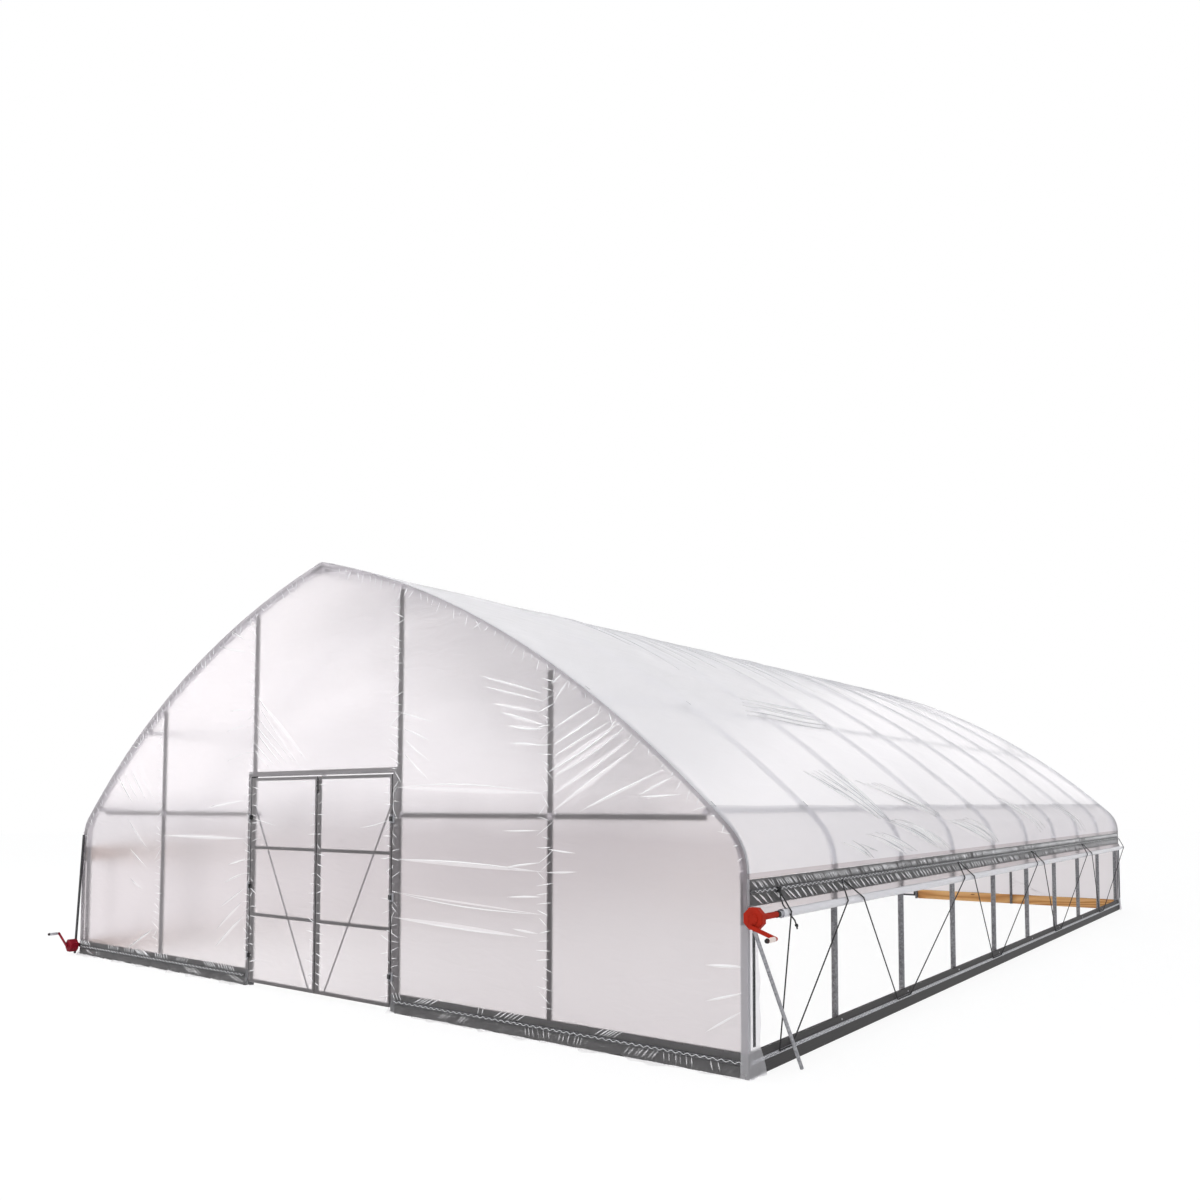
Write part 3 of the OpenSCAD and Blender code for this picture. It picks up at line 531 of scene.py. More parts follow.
def end_tree(tree, made, group_in, group_out):
    """Ends a tree: instances made real, and the finish set."""
    real = add_node(tree, "GeometryNodeRealizeInstances", {"Geometry": made})
    finish = add_node(tree, "GeometryNodeSetMaterial",
                      {"Geometry": real.outputs["Geometry"], "Material": group_in.outputs["Finish"]})
    set_inputs(tree, group_out, {"Geometry": finish.outputs["Geometry"]})


strand_tree, strand_in, strand_out = geometry_tree(
    "round_strands", [("Sides", "Int", 6), ("Finish", "Material", None)])
strand_curve = add_node(strand_tree, "GeometryNodeMeshToCurve", {"Mesh": strand_in.outputs["Geometry"]})
strand_ring = add_node(strand_tree, "GeometryNodeCurvePrimitiveCircle",
                       {"Resolution": strand_in.outputs["Sides"], "Radius": 1.0})
strand_mesh = add_node(strand_tree, "GeometryNodeCurveToMesh",
                       {"Curve": strand_curve.outputs["Curve"], "Profile Curve": strand_ring.outputs["Curve"],
                        "Scale": stored_value(strand_tree, "thick", "FLOAT"), "Fill Caps": True})
strand_smooth = add_node(strand_tree, "GeometryNodeSetShadeSmooth", {"Geometry": strand_mesh.outputs["Mesh"]})
end_tree(strand_tree, strand_smooth.outputs["Geometry"], strand_in, strand_out)

turned_tree, turned_in, turned_out = geometry_tree(
    "turned_fittings", [("Sides", "Int", 6), ("Top Share", "Float", 0.9), ("Finish", "Material", None)])
turned_cone = add_node(turned_tree, "GeometryNodeMeshCone",
                       {"Vertices": turned_in.outputs["Sides"], "Radius Top": turned_in.outputs["Top Share"],
                        "Radius Bottom": 1.0, "Depth": 1.0})
turned_way = add_node(turned_tree, "FunctionNodeAlignRotationToVector",
                      {"Vector": stored_value(turned_tree, "facing", "FLOAT_VECTOR")}, axis="Z")
turned_radius = stored_value(turned_tree, "radius", "FLOAT")
turned_scale = add_node(turned_tree, "ShaderNodeCombineXYZ",
                        {"X": turned_radius, "Y": turned_radius,
                         "Z": stored_value(turned_tree, "length", "FLOAT")})
turned_set = add_node(turned_tree, "GeometryNodeInstanceOnPoints",
                      {"Points": turned_in.outputs["Geometry"], "Instance": turned_cone.outputs["Mesh"],
                       "Rotation": turned_way.outputs["Rotation"], "Scale": turned_scale.outputs["Vector"]})
end_tree(turned_tree, turned_set.outputs["Instances"], turned_in, turned_out)


def run_tree(piece, tree, values):
    """Runs a tree on an object and keeps the result as the object's plain mesh."""
    modifier = piece.modifiers.new(tree.name, "NODES")
    modifier.node_group = tree
    for item in tree.interface.items_tree:
        if item.in_out == "INPUT" and item.name in values:
            modifier[item.identifier] = values[item.name]
    shown = piece.evaluated_get(bpy.context.evaluated_depsgraph_get())
    mesh = bpy.data.meshes.new_from_object(shown)
    piece.modifiers.clear()
    piece.data = mesh


def store(mesh, name, kind, values):
    """Stores numbers or vectors on the points of a mesh."""
    made = mesh.attributes.new(name, kind, "POINT")
    key = "vector" if kind == "FLOAT_VECTOR" else "value"
    made.data.foreach_set(key, np.asarray(values, np.float32).ravel())


def strands(name, lines, sides, look, body):
    """Round strands along lines. A line is a list of points and a list of their radii."""
    points = np.concatenate([np.asarray(line, float) for line, _ in lines])
    radii = np.concatenate([np.asarray(thick, float) for _, thick in lines])
    edges = []
    start = 0
    for line, _ in lines:
        edges += [(start + i, start + i + 1) for i in range(len(line) - 1)]
        start += len(line)
    mesh = bpy.data.meshes.new(name)
    mesh.from_pydata([tuple(p) for p in points], edges, [])
    store(mesh, "thick", "FLOAT", radii)
    piece = link_new(mesh, name)
    run_tree(piece, strand_tree, {"Sides": sides, "Finish": look})
    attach(piece, body)
    return piece


def turned(name, fittings, sides, top_share, look, body):
    """Turned pieces. A fitting is the middle of its base, its direction, its radius and its length."""
    places, ways, radii, lengths = zip(*fittings)
    mesh = bpy.data.meshes.new(name)
    mesh.from_pydata([tuple(place) for place in places], [], [])
    store(mesh, "facing", "FLOAT_VECTOR", ways)
    store(mesh, "radius", "FLOAT", radii)
    store(mesh, "length", "FLOAT", lengths)
    piece = link_new(mesh, name)
    run_tree(piece, turned_tree, {"Sides": sides, "Top Share": top_share, "Finish": look})
    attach(piece, body)


print("trees:", strand_tree.name, turned_tree.name)

# %% [markdown]
# The film is made as what it is: flat sheets pulled over the steel. Each sheet is a fine grid laid on the
# surface that its solids hold, then pushed out by creases. A crease is a straight soft ridge between two
# points of the flat sheet, and fans of them run where the film is pulled, as on the real one.

# %% Sizes of the film
RAFTER_R = 9.725
PEAK_Z = 3.995
PEAK_PITCH = math.radians(13.5)
FILM_EAVE = math.radians(43.5)
BOW_R = 0.025
SEAT = 0.0003
BAYS = 9
GABLE_POST_X = 2.82
DOOR_POST_X = 1.09
GIRT_Z = 1.67
HIP_CHANNEL_Z = 1.19
BASE_CHANNEL_Z = 0.1
CHANNEL_HALF = 0.012
PURLIN_PITCHES = (math.radians(34), math.radians(42.2))

left_curtain_low, left_curtain_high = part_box("left_curtain")
hip_low, hip_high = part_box("hip_boards")
base_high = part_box("side_base_boards")[1]
FILM_T = left_curtain_high.x - left_curtain_low.x
FRONT_FILM_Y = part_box("front_film_left")[0].y + FILM_T / 2
BACK_FILM_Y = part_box("back_film_left")[1].y - FILM_T / 2
FRONT_BOW_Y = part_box("right_posts")[0].y + BOW_R
BACK_BOW_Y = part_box("right_posts")[1].y - BOW_R
BAY = (BACK_BOW_Y - FRONT_BOW_Y) / BAYS
LEG_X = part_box("right_posts")[1].x - BOW_R
JAMB_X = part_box("front_film_right")[0].x
DOOR_HEAD_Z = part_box("front_film_over_door")[0].z
HEM_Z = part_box("front_film_right")[0].z

rafter_cx = -RAFTER_R * math.sin(PEAK_PITCH)
rafter_cz = PEAK_Z - RAFTER_R * math.cos(PEAK_PITCH)
roof_r = RAFTER_R + BOW_R + SEAT + FILM_T / 2
side_x = -(left_curtain_low.x + left_curtain_high.x) / 2
eave_x = rafter_cx + roof_r * math.sin(FILM_EAVE)
eave_z = rafter_cz + roof_r * math.cos(FILM_EAVE)
shoulder_r = (side_x - eave_x) / (1 - math.sin(FILM_EAVE))
shoulder_x = side_x - shoulder_r
shoulder_z = eave_z - shoulder_r * math.cos(FILM_EAVE)
ridge_angle = math.asin(-rafter_cx / roof_r)
rafter_run = roof_r * (FILM_EAVE - ridge_angle)
roof_run = rafter_run + shoulder_r * (math.pi / 2 - FILM_EAVE)
print("roof film from ridge to shoulder:", round(roof_run, 3), "m, bay", round(BAY, 3), "m")

# %% [markdown]
# Small tools for the sheets. A place on the roof is given by its run over the arch from the ridge. A fan is
# a set of creases between a first and a last line, with the small unevenness that pulled film has.

# %% Sheet tools
CREASE_JITTER = 0.015
# Heights over the film
FOLD_RISE = 0.001
PLEAT_MIDDLE = 0.0035
PLEAT_EDGE = 0.0012


def roof_place(run):
    """Place and outward direction, in x and z, at signed runs over the roof from the ridge to the right."""
    side = np.where(run < 0, -1.0, 1.0)
    s = np.abs(run)
    on_rafter = s <= rafter_run
    angle = np.where(on_rafter, ridge_angle + s / roof_r, FILM_EAVE + (s - rafter_run) / shoulder_r)
    x = np.where(on_rafter, rafter_cx + roof_r * np.sin(angle), shoulder_x + shoulder_r * np.sin(angle))
    z = np.where(on_rafter, rafter_cz + roof_r * np.cos(angle), shoulder_z + shoulder_r * np.cos(angle))
    return side * x, z, side * np.sin(angle), np.cos(angle)


def arch_top(x):
    """Height of the film's arch over distances from the middle."""
    x = np.abs(x)
    rafter = rafter_cz + np.sqrt(np.maximum(roof_r ** 2 - (x - rafter_cx) ** 2, 0))
    bend = shoulder_z + np.sqrt(np.maximum(shoulder_r ** 2 - np.maximum(x - shoulder_x, 0) ** 2, 0))
    return np.where(x <= eave_x, rafter, bend)


def crease_height(u, v, creases):
    """Height of straight soft ridges over flat points. A crease has its two ends, half width and height."""
    total = np.zeros_like(u)
    for (u0, v0), (u1, v1), width, height in creases:
        du, dv = u1 - u0, v1 - v0
        reach = 3 * width
        near = ((u > min(u0, u1) - reach) & (u < max(u0, u1) + reach)
                & (v > min(v0, v1) - reach) & (v < max(v0, v1) + reach))
        if not near.any():
            continue
        pu, pv = u[near] - u0, v[near] - v0
        t = np.clip((pu * du + pv * dv) / (du * du + dv * dv), 0, 1)
        gap = np.hypot(pu - t * du, pv - t * dv)
        total[near] += height * np.exp(-(gap / width) ** 2) * np.sqrt(np.sin(np.pi * np.clip(t, 0.02, 0.98)))
    return total


def crease_fan(rng, first, last, count, width, height):
    """Creases spread between a first and a last line, each line given by its two ends."""
    made = []
    for share in np.linspace(0, 1, count):
        ends = [tuple((1 - share) * a + share * b + rng.normal(0, CREASE_JITTER) for a, b in zip(start, stop))
                for start, stop in zip(first, last)]
        made.append((ends[0], ends[1], width * rng.uniform(0.8, 1.2), height * rng.uniform(0.5, 1.1)))
    return made


def flat_grid(u_from, u_to, columns, v_from, v_to, rows):
    """Flat coordinates of the points of a grid, stored column by column."""
    u, v = np.meshgrid(np.linspace(u_from, u_to, columns), np.linspace(v_from, v_to, rows), indexing="ij")
    return u.ravel(), v.ravel()


def grid_faces(columns, rows, flip, start=0):
    """Quads of a grid of points stored column by column."""
    index = start + np.arange(columns * rows).reshape(columns, rows)
    quads = np.stack([index[:-1, :-1], index[1:, :-1], index[1:, 1:], index[:-1, 1:]], axis=-1).reshape(-1, 4)
    return quads[:, ::-1] if flip else quads


def sheet_object(name, points, quads, look):
    """A smooth mesh object of a sheet."""
    mesh = bpy.data.meshes.new(name)
    mesh.from_pydata([tuple(p) for p in points], [], [tuple(int(i) for i in q) for q in quads])
    mesh.polygons.foreach_set("use_smooth", np.ones(len(mesh.polygons), bool))
    mesh.materials.append(look)
    mesh.update()
    return link_new(mesh, name)


def second_look(piece, look, chosen):
    """Gives a second finish to the faces of a sheet whose middles a rule picks, as a mask over points."""
    piece.data.materials.append(look)
    middles = np.empty(3 * len(piece.data.polygons))
    piece.data.polygons.foreach_get("center", middles)
    mask = chosen(middles.reshape(-1, 3))
    piece.data.polygons.foreach_set("material_index", mask.astype(np.int32))


def fold_lines(rng, creases, place, thickness):
    """Lines of the pinched folds along creases, bent a little and tapered to nothing at both ends."""
    share = np.linspace(0, 1, 7)
    lines = []
    for (u0, v0), (u1, v1), _, _ in creases:
        bend = rng.normal(0, 0.012) * np.sin(np.pi * share)
        u = u0 + (u1 - u0) * share - (v1 - v0) * bend
        v = v0 + (v1 - v0) * share + (u1 - u0) * bend
        peak = rng.uniform(0.4, 0.6)
        taper = np.interp(share, [0, peak, 1], [0.05, 1, 0.05]) ** 0.7
        lines.append((place(u, v, FOLD_RISE), thickness * rng.uniform(0.6, 1.2) * taper))
    return lines


def pleats(name, rng, creases, place, half_width, body):
    """Flat tapered pleats along creases, each with a middle line that stands higher than its edges."""
    share = np.linspace(0, 1, 9)
    points, quads = [], []
    start = 0
    for (u0, v0), (u1, v1), _, _ in creases:
        length = math.hypot(u1 - u0, v1 - v0)
        wide = half_width * rng.uniform(0.4, 1.3) * min(1.0, 0.3 + length) * np.sin(np.pi * share) ** 0.8
        side_u, side_v = -(v1 - v0) / length, (u1 - u0) / length
        for across in (-1, 0, 1):
            u = u0 + (u1 - u0) * share + across * wide * side_u
            v = v0 + (v1 - v0) * share + across * wide * side_v
            points.append(place(u, v, PLEAT_MIDDLE if across == 0 else PLEAT_EDGE))
        quads.append(grid_faces(3, len(share), False, start))
        start += 3 * len(share)
    made = sheet_object(name, np.concatenate(points), np.concatenate(quads), pleat_look)
    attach(made, body)


print("sheet tools ready")

# %% [markdown]
# One sheet covers the roof from shoulder to shoulder. It sags a little between the bows. Long gathers run
# down from the ridge, and in the front bays the film is pulled slantwise towards the shoulder purlin.

# %% Roof film
ROOF_STEP = 0.042
SAG = 0.008
# Distances over which the sag fades at the shoulder and the ridge, and the creases at both ends
SHOULDER_FADE = 0.5
RIDGE_FADE = 0.4
END_FADE = 0.12
RIDGE_CREASE_WIDTH = 0.05
RIDGE_CREASE_HEIGHT = 0.006
LOW_CREASE_WIDTH = 0.035
LOW_CREASE_HEIGHT = 0.011
RIDGE_GATHER_GAP = 0.24
RIDGE_FOLD_R = 0.0065
SHOULDER_FOLD_R = 0.008
SHADE_R = 0.007
SHADE_SHIFT = 0.03
SHOULDER_PLEAT_HALF = 0.025
purlin_run = roof_r * (PURLIN_PITCHES[1] - ridge_angle)
# First and last line of each bundle of low creases, by place along the tunnel and run from the ridge
ROOF_BUNDLES = (
    (((-4.0, 4.45), (-3.5, 5.08)), ((-3.3, 4.42), (-3.3, 5.10)), 7),
    (((-3.1, 4.58), (-2.1, 5.09)), ((-2.6, 4.60), (-1.9, 5.05)), 6),
    (((-3.4, 5.12), (-2.5, 5.43)), ((-3.0, 5.12), (-2.1, 5.43)), 7),
    (((-1.9, 5.13), (-0.9, 5.43)), ((-1.1, 5.13), (-0.5, 5.43)), 7),
    (((-4.5, 5.30), (-4.1, 5.43)), ((-4.2, 5.28), (-3.9, 5.43)), 4),
    (((-4.0, 5.24), (-3.3, 5.43)), ((-3.7, 5.22), (-3.0, 5.43)), 4),
    (((0.6, 4.80), (1.3, 5.35)), ((0.9, 4.80), (1.6, 5.30)), 3),
    (((2.9, 4.90), (3.5, 5.40)), ((3.2, 4.90), (3.8, 5.40)), 3),
    (((-3.3, 3.20), (-1.9, 3.30)), ((-3.7, 3.55), (-2.1, 3.65)), 5),
)
roof_rng = np.random.default_rng(11)
ridge_creases = []
low_creases = []
for side in (1, -1):
    for y in np.arange(FRONT_BOW_Y + 2.6, BACK_BOW_Y - 0.4, RIDGE_GATHER_GAP):
        top = roof_rng.uniform(0.25, 0.7)
        end = top + roof_rng.uniform(0.9, 2.4)
        lean = -0.25 * (end - top) + roof_rng.normal(0, 0.08)
        height = RIDGE_CREASE_HEIGHT * roof_rng.uniform(0.4, 1.2)
        ridge_creases.append(((y, side * top), (y + lean, side * end), RIDGE_CREASE_WIDTH, height))
    for first, last, count in ROOF_BUNDLES:
        ends = [[(y, side * run) for y, run in line] for line in (first, last)]
        low_creases += crease_fan(roof_rng, ends[0], ends[1], count, LOW_CREASE_WIDTH, LOW_CREASE_HEIGHT)

roof_columns = int((BACK_FILM_Y - FRONT_FILM_Y) / ROOF_STEP) + 1
roof_rows = int(2 * roof_run / ROOF_STEP) + 1
roof_u, roof_v = flat_grid(FRONT_FILM_Y, BACK_FILM_Y, roof_columns, -roof_run, roof_run, roof_rows)


def on_roof(u, v, rise):
    """Points of the roof film, or over it, at places along the tunnel and runs over the arch."""
    bay_share = (u - FRONT_BOW_Y) / BAY
    between = np.sin(np.pi * bay_share) ** 2 * ((bay_share > 0) & (bay_share < BAYS))
    free = np.clip((roof_run - np.abs(v)) / SHOULDER_FADE, 0, 1) * np.clip(np.abs(v) / RIDGE_FADE, 0, 1)
    ends = np.clip((u - FRONT_FILM_Y) / END_FADE, 0, 1) * np.clip((BACK_FILM_Y - u) / END_FADE, 0, 1)
    lift = crease_height(u, v, ridge_creases + low_creases) * ends - SAG * between * free + rise
    x, z, nx, nz = roof_place(v)
    return np.stack([x + nx * lift, u, z + nz * lift], axis=1)


roof_film = sheet_object("roof_film", on_roof(roof_u, roof_v, 0.0), grid_faces(roof_columns, roof_rows, True),
                         roof_look)
purlin_x = float(roof_place(np.array(purlin_run))[0])
second_look(roof_film, shoulder_look, lambda middles: np.abs(middles[:, 0]) > purlin_x)
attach(roof_film, "root")
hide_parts("left_roof_film", "right_roof_film", "left_shoulder_film", "right_shoulder_film")

# Painted shade: the ridge gathers and the strands beside the white shoulder folds are grey
ridge_lines = fold_lines(roof_rng, ridge_creases, on_roof, RIDGE_FOLD_R)
strands("ridge_folds", ridge_lines, 4, fold_shade_look, "root")
low_lines = fold_lines(roof_rng, low_creases, on_roof, SHOULDER_FOLD_R)
strands("shoulder_folds", low_lines, 4, fold_look, "root")
shaded = [((u0 + SHADE_SHIFT, v0), (u1 + SHADE_SHIFT, v1), width, height)
          for (u0, v0), (u1, v1), width, height in low_creases]
shade_lines = fold_lines(roof_rng, shaded, on_roof, SHADE_R)
strands("shoulder_shades", shade_lines, 4, fold_shade_look, "root")
pleats("shoulder_pleats", roof_rng, low_creases, on_roof, SHOULDER_PLEAT_HALF, "root")
print("roof film:", len(roof_film.data.polygons), "quads,", len(ridge_creases) + len(low_creases), "creases")

# %% [markdown]
# The side films start at the shoulders, pass over the hip boards under their channels, and hang to their
# rolls. The left one reaches almost to the ground. The right one is wound up, and leans out from the hip
# board to its roll. Above and below the channel the film is gathered in folds that all lean the same way.

# %% Side films
SIDE_STEP = 0.03
HATCH_GAP = 0.022
HATCH_R = 0.0042
SIDE_FOLD_GAP = 0.085
SIDE_FOLD_R = 0.0085
HATCH_WIDTH = 0.01
HATCH_HEIGHT = 0.0018
SIDE_FOLD_WIDTH = 0.02
SIDE_FOLD_HEIGHT = 0.0025
SIDE_CREASE_HEIGHT = 0.004
CHANNEL_CLEAR = 0.016
CHANNEL_FADE = 0.04
side_rng = np.random.default_rng(12)


def side_film(name, side, roll_node):
    """The film that hangs from a shoulder to the middle of its roll."""
    roll_low, roll_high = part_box(roll_node)
    low_z = (roll_low.z + roll_high.z) / 2
    stand = min(abs(roll_low.x), abs(roll_high.x)) - FILM_T / 2 - SEAT - side_x
    rows = max(int((shoulder_z - low_z) / SIDE_STEP), 4)
    columns = int((BACK_FILM_Y - FRONT_FILM_Y) / SIDE_STEP)

    def on_side(y, height, out):
        lean = stand * np.clip((hip_low.z - height) / (hip_low.z - low_z), 0, 1)
        return np.stack([side * (side_x + lean + out), y, height], axis=1)

    creases, hatch, folds = [], [], []
    for y in np.arange(FRONT_FILM_Y + 0.05, BACK_FILM_Y - 0.12, HATCH_GAP):
        cluster = 0.5 + 0.5 * math.sin(2.1 * y + 1.2 * math.sin(1.7 * y) + 3.4)
        if side_rng.random() < 0.6 + 0.4 * cluster:
            foot = (y + side_rng.uniform(0.05, 0.09), HIP_CHANNEL_Z + CHANNEL_CLEAR)
            hatch.append(((y, hip_high.z - 0.004), foot, HATCH_WIDTH,
                          HATCH_HEIGHT * side_rng.uniform(0.6, 1.2)))
    for y in np.arange(FRONT_FILM_Y + 0.06, BACK_FILM_Y - 0.2, SIDE_FOLD_GAP):
        y = y + side_rng.normal(0, 0.015)
        foot = (y + side_rng.uniform(0.09, 0.15), hip_low.z + 0.005)
        folds.append(((y, HIP_CHANNEL_Z - CHANNEL_CLEAR), foot, SIDE_FOLD_WIDTH,
                      SIDE_FOLD_HEIGHT * side_rng.uniform(0.5, 1.2)))
        drop = side_rng.uniform(0.3, 1.0) * (hip_low.z - low_z)
        foot = (y + side_rng.normal(0.04, 0.03), hip_low.z - drop)
        creases.append(((y, HIP_CHANNEL_Z), foot, SIDE_FOLD_WIDTH,
                        SIDE_CREASE_HEIGHT * side_rng.uniform(0.4, 1)))
    y, height = flat_grid(FRONT_FILM_Y, BACK_FILM_Y, columns, low_z, shoulder_z, rows)
    clear_of_channel = np.clip((np.abs(height - HIP_CHANNEL_Z) - CHANNEL_HALF) / CHANNEL_FADE, 0, 1)
    out = crease_height(y, height, creases) * clear_of_channel * (height < hip_low.z)
    made = sheet_object(name, on_side(y, height, out), grid_faces(columns, rows, side < 0), film_look)
    second_look(made, tight_look, lambda middles: (middles[:, 2] > hip_low.z) & (middles[:, 2] < hip_high.z))
    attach(made, "root")
    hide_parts(name.replace("_film", ""))
    lines = fold_lines(side_rng, hatch, on_side, HATCH_R) + fold_lines(side_rng, folds, on_side, SIDE_FOLD_R)
    strands(name.replace("_film", "_folds"), lines, 4, fold_look, "root")
    return made


right_curtain_film = side_film("right_curtain_film", 1, "right_film_roll")
left_curtain_film = side_film("left_curtain_film", -1, "left_film_roll")
print("side films:", len(right_curtain_film.data.polygons), len(left_curtain_film.data.polygons), "quads")

# %% [markdown]
# Wound film is never a clean cylinder: the turns slip, so the roll is lumpy and its thickness wanders along
# the bar. A tube whose radius follows a few slow waves gives that, inside the space of its solid.

# %% Film rolls
ROLL_AROUND = 20
ROLL_STEP = 0.05


def wound_roll(name, node, rng):
    """Film wound loosely on its bar: a lumpy tube with slack turns."""
    low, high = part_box(node)
    cx, cz = (low.x + high.x) / 2, (low.z + high.z) / 2
    radius = (high.x - low.x) / 2
    columns = int((high.y - low.y) / ROLL_STEP)
    y = np.linspace(low.y, high.y, columns)
    slack = np.cumsum(rng.normal(0, 1, columns))
    slack = (slack - slack.min()) / (slack.max() - slack.min())
    points = []
    for i in range(columns):
        for k in range(ROLL_AROUND):
            turn = 2 * math.pi * k / ROLL_AROUND
            lump = math.sin(3 * turn + 2.2 * y[i]) * 0.25 + math.sin(5 * turn - 9 * y[i]) * 0.25
            r = radius * (0.9 + 0.1 * (0.5 + lump) * (0.4 + 0.6 * slack[i]))
            points.append((cx + r * math.cos(turn), y[i], cz + r * math.sin(turn)))
    index = np.arange(columns * ROLL_AROUND).reshape(columns, ROLL_AROUND)
    after = np.roll(index, -1, axis=1)
    quads = np.stack([index[:-1], index[1:], after[1:], after[:-1]], axis=-1).reshape(-1, 4)
    made = sheet_object(name, points, quads, rolled_look)
    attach(made, "root")
    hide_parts(node)
    return made


roll_rng = np.random.default_rng(13)
right_roll = wound_roll("right_wound_film", "right_film_roll", roll_rng)
left_roll = wound_roll("left_wound_film", "left_film_roll", roll_rng)
print("film rolls:", len(right_roll.data.polygons), len(left_roll.data.polygons), "quads")

# %% [markdown]
# The gable film is stretched over the end bow, the posts and the base board. It is pulled from the posts up
# to the arch in the outer panels, across between the posts beside the door, and down from the left post
# over the door. Along the posts, the arch and the board it is pinched in short ticks. Each fan is given by
# its first and last line in x and z, as it runs on the front.

# %% Creases of the gables
GABLE_FANS = (
    (((2.88, 1.72), (3.70, 2.20)), ((2.88, 2.30), (3.32, 2.48)), 7, 0.006),
    (((2.90, 2.55), (3.05, 2.70)), ((2.88, 2.65), (3.00, 2.74)), 2, 0.004),
    (((3.17, 1.70), (3.90, 2.02)), ((3.72, 1.84), (4.00, 1.95)), 2, 0.007),
    (((3.71, 1.82), (4.06, 1.82)), ((3.71, 1.82), (4.06, 1.82)), 1, 0.004),
    (((2.85, 1.43), (3.14, 1.40)), ((2.82, 1.26), (3.12, 1.25)), 2, 0.004),
    (((4.25, 0.28), (4.56, 0.44)), ((4.25, 0.70), (4.56, 0.70)), 3, 0.006),
    (((1.10, 1.90), (2.80, 1.84)), ((1.10, 1.90), (2.80, 1.84)), 1, 0.005),
    (((1.11, 1.32), (2.79, 1.27)), ((1.11, 1.32), (2.79, 1.27)), 1, 0.005),
    (((1.11, 1.03), (2.78, 0.94)), ((1.08, 0.79), (2.65, 0.73)), 2, 0.008),
    (((2.37, 1.54), (2.77, 1.57)), ((2.50, 0.80), (2.78, 0.80)), 4, 0.004),
    (((1.17, 2.54), (1.56, 2.46)), ((1.19, 2.22), (1.50, 1.96)), 4, 0.004),
    (((2.11, 2.81), (2.78, 2.60)), ((2.48, 2.24), (2.78, 2.22)), 6, 0.004),
    (((-0.99, 2.81), (-0.15, 2.14)), ((-1.06, 2.32), (-0.76, 2.11)), 7, 0.005),
    (((-2.75, 1.44), (-1.16, 1.42)), ((-2.75, 1.44), (-1.16, 1.42)), 1, 0.005),
    (((-1.51, 2.17), (-1.16, 2.27)), ((-1.81, 1.72), (-1.17, 1.82)), 2, 0.006),
    (((-1.53, 2.51), (-1.17, 2.56)), ((-1.48, 2.69), (-1.18, 2.71)), 2, 0.004),
    (((-1.52, 3.53), (-1.19, 3.41)), ((-1.64, 3.37), (-1.20, 3.29)), 2, 0.004),
    (((-1.50, 1.17), (-1.15, 1.22)), ((-1.68, 0.31), (-1.16, 0.68)), 5, 0.003),
    (((-3.31, 2.19), (-2.92, 1.83)), ((-3.71, 2.06), (-3.40, 1.78)), 4, 0.006),
    (((-3.50, 1.61), (-2.99, 1.28)), ((-3.41, 0.94), (-3.12, 0.84)), 3, 0.005),
    (((-3.41, 0.16), (-2.88, 0.41)), ((-3.41, 0.16), (-2.88, 0.41)), 1, 0.005),
)
CREASE_WIDTH = 0.035
CREASE_RELIEF = 1.8
POST_TICK_GAP = 0.07
ARCH_TICK_GAP = 0.09
TICK_WIDTH = 0.01
TICK_HEIGHT = 0.002
UPPER_TICKS = (0.116, 0.175)
LOWER_TICKS = (0.02, 0.086)
UPPER_SHARE = 0.55
TICK_MARGIN = 0.06
# Folds stop this far from the edges of the film, and ticks turn back this far from its corners
EDGE_INSET = 0.008
CORNER_INSET = 0.03


def gable_creases(rng, mirror):
    """The long creases of a gable, mirrored or not."""
    made = []
    for first, last, count, height in GABLE_FANS:
        ends = [[(mirror * x, z) for x, z in line] for line in (first, last)]
        made += crease_fan(rng, ends[0], ends[1], count, CREASE_WIDTH, CREASE_RELIEF * height)
    return made


def gable_ticks(rng):
    """Short pinches of a gable film along the posts, the arch and the base board."""
    made = []
    for side in (1, -1):
        for post in (GABLE_POST_X, DOOR_POST_X):
            for height in np.arange(0.25, float(arch_top(np.array(post))) - 0.1, POST_TICK_GAP):
                reach = rng.uniform(0.03, 0.09)
                middle = side * post + rng.normal(0, 0.015)
                rise = rng.normal(0, 0.03)
                made.append(((middle - reach, height - rise), (middle + reach, height + rise), TICK_WIDTH,
                             TICK_HEIGHT * rng.uniform(0.4, 1.3)))
        for run in np.arange(0.3, roof_run - 0.1, ARCH_TICK_GAP):
            px, pz, ox, oz = (float(value) for value in roof_place(np.array(side * run)))
            reach = rng.uniform(0.04, 0.13)
            turn = rng.normal(0, 0.4)
            way = (-ox * math.cos(turn) - oz * math.sin(turn), -oz * math.cos(turn) + ox * math.sin(turn))
            start = (px - 0.02 * ox, pz - 0.02 * oz)
            made.append((start, (start[0] + reach * way[0], start[1] + reach * way[1]), TICK_WIDTH,
                         TICK_HEIGHT * rng.uniform(0.4, 1.2)))
        place = JAMB_X + TICK_MARGIN
        while place < side_x - TICK_MARGIN:
            lean = side * rng.normal(0.05, 0.07)
            low, high = UPPER_TICKS if rng.random() < UPPER_SHARE else LOWER_TICKS
            for _ in range(rng.integers(2, 8)):
                foot = side * min(place, 2 * (side_x - CORNER_INSET) - place)
                made.append(((foot, low), (foot + lean, high), TICK_WIDTH,
                             TICK_HEIGHT * rng.uniform(0.4, 1.2)))
                place += rng.uniform(0.025, 0.06)
            place += rng.uniform(0.02, 0.16)
    return made


print("fans of creases:", len(GABLE_FANS))

# %% [markdown]
# The sheet itself is three patches that meet at the door frame. Below the base channel it hangs free, and
# its hem spreads over the ground in loose waves.

# %% Gable films
BOARD_TOP_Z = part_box("front_base_boards")[1].z
SIDE_PATCH = (176, 150)
DOOR_PATCH = (107, 92)
PATCH_EDGE = 0.002
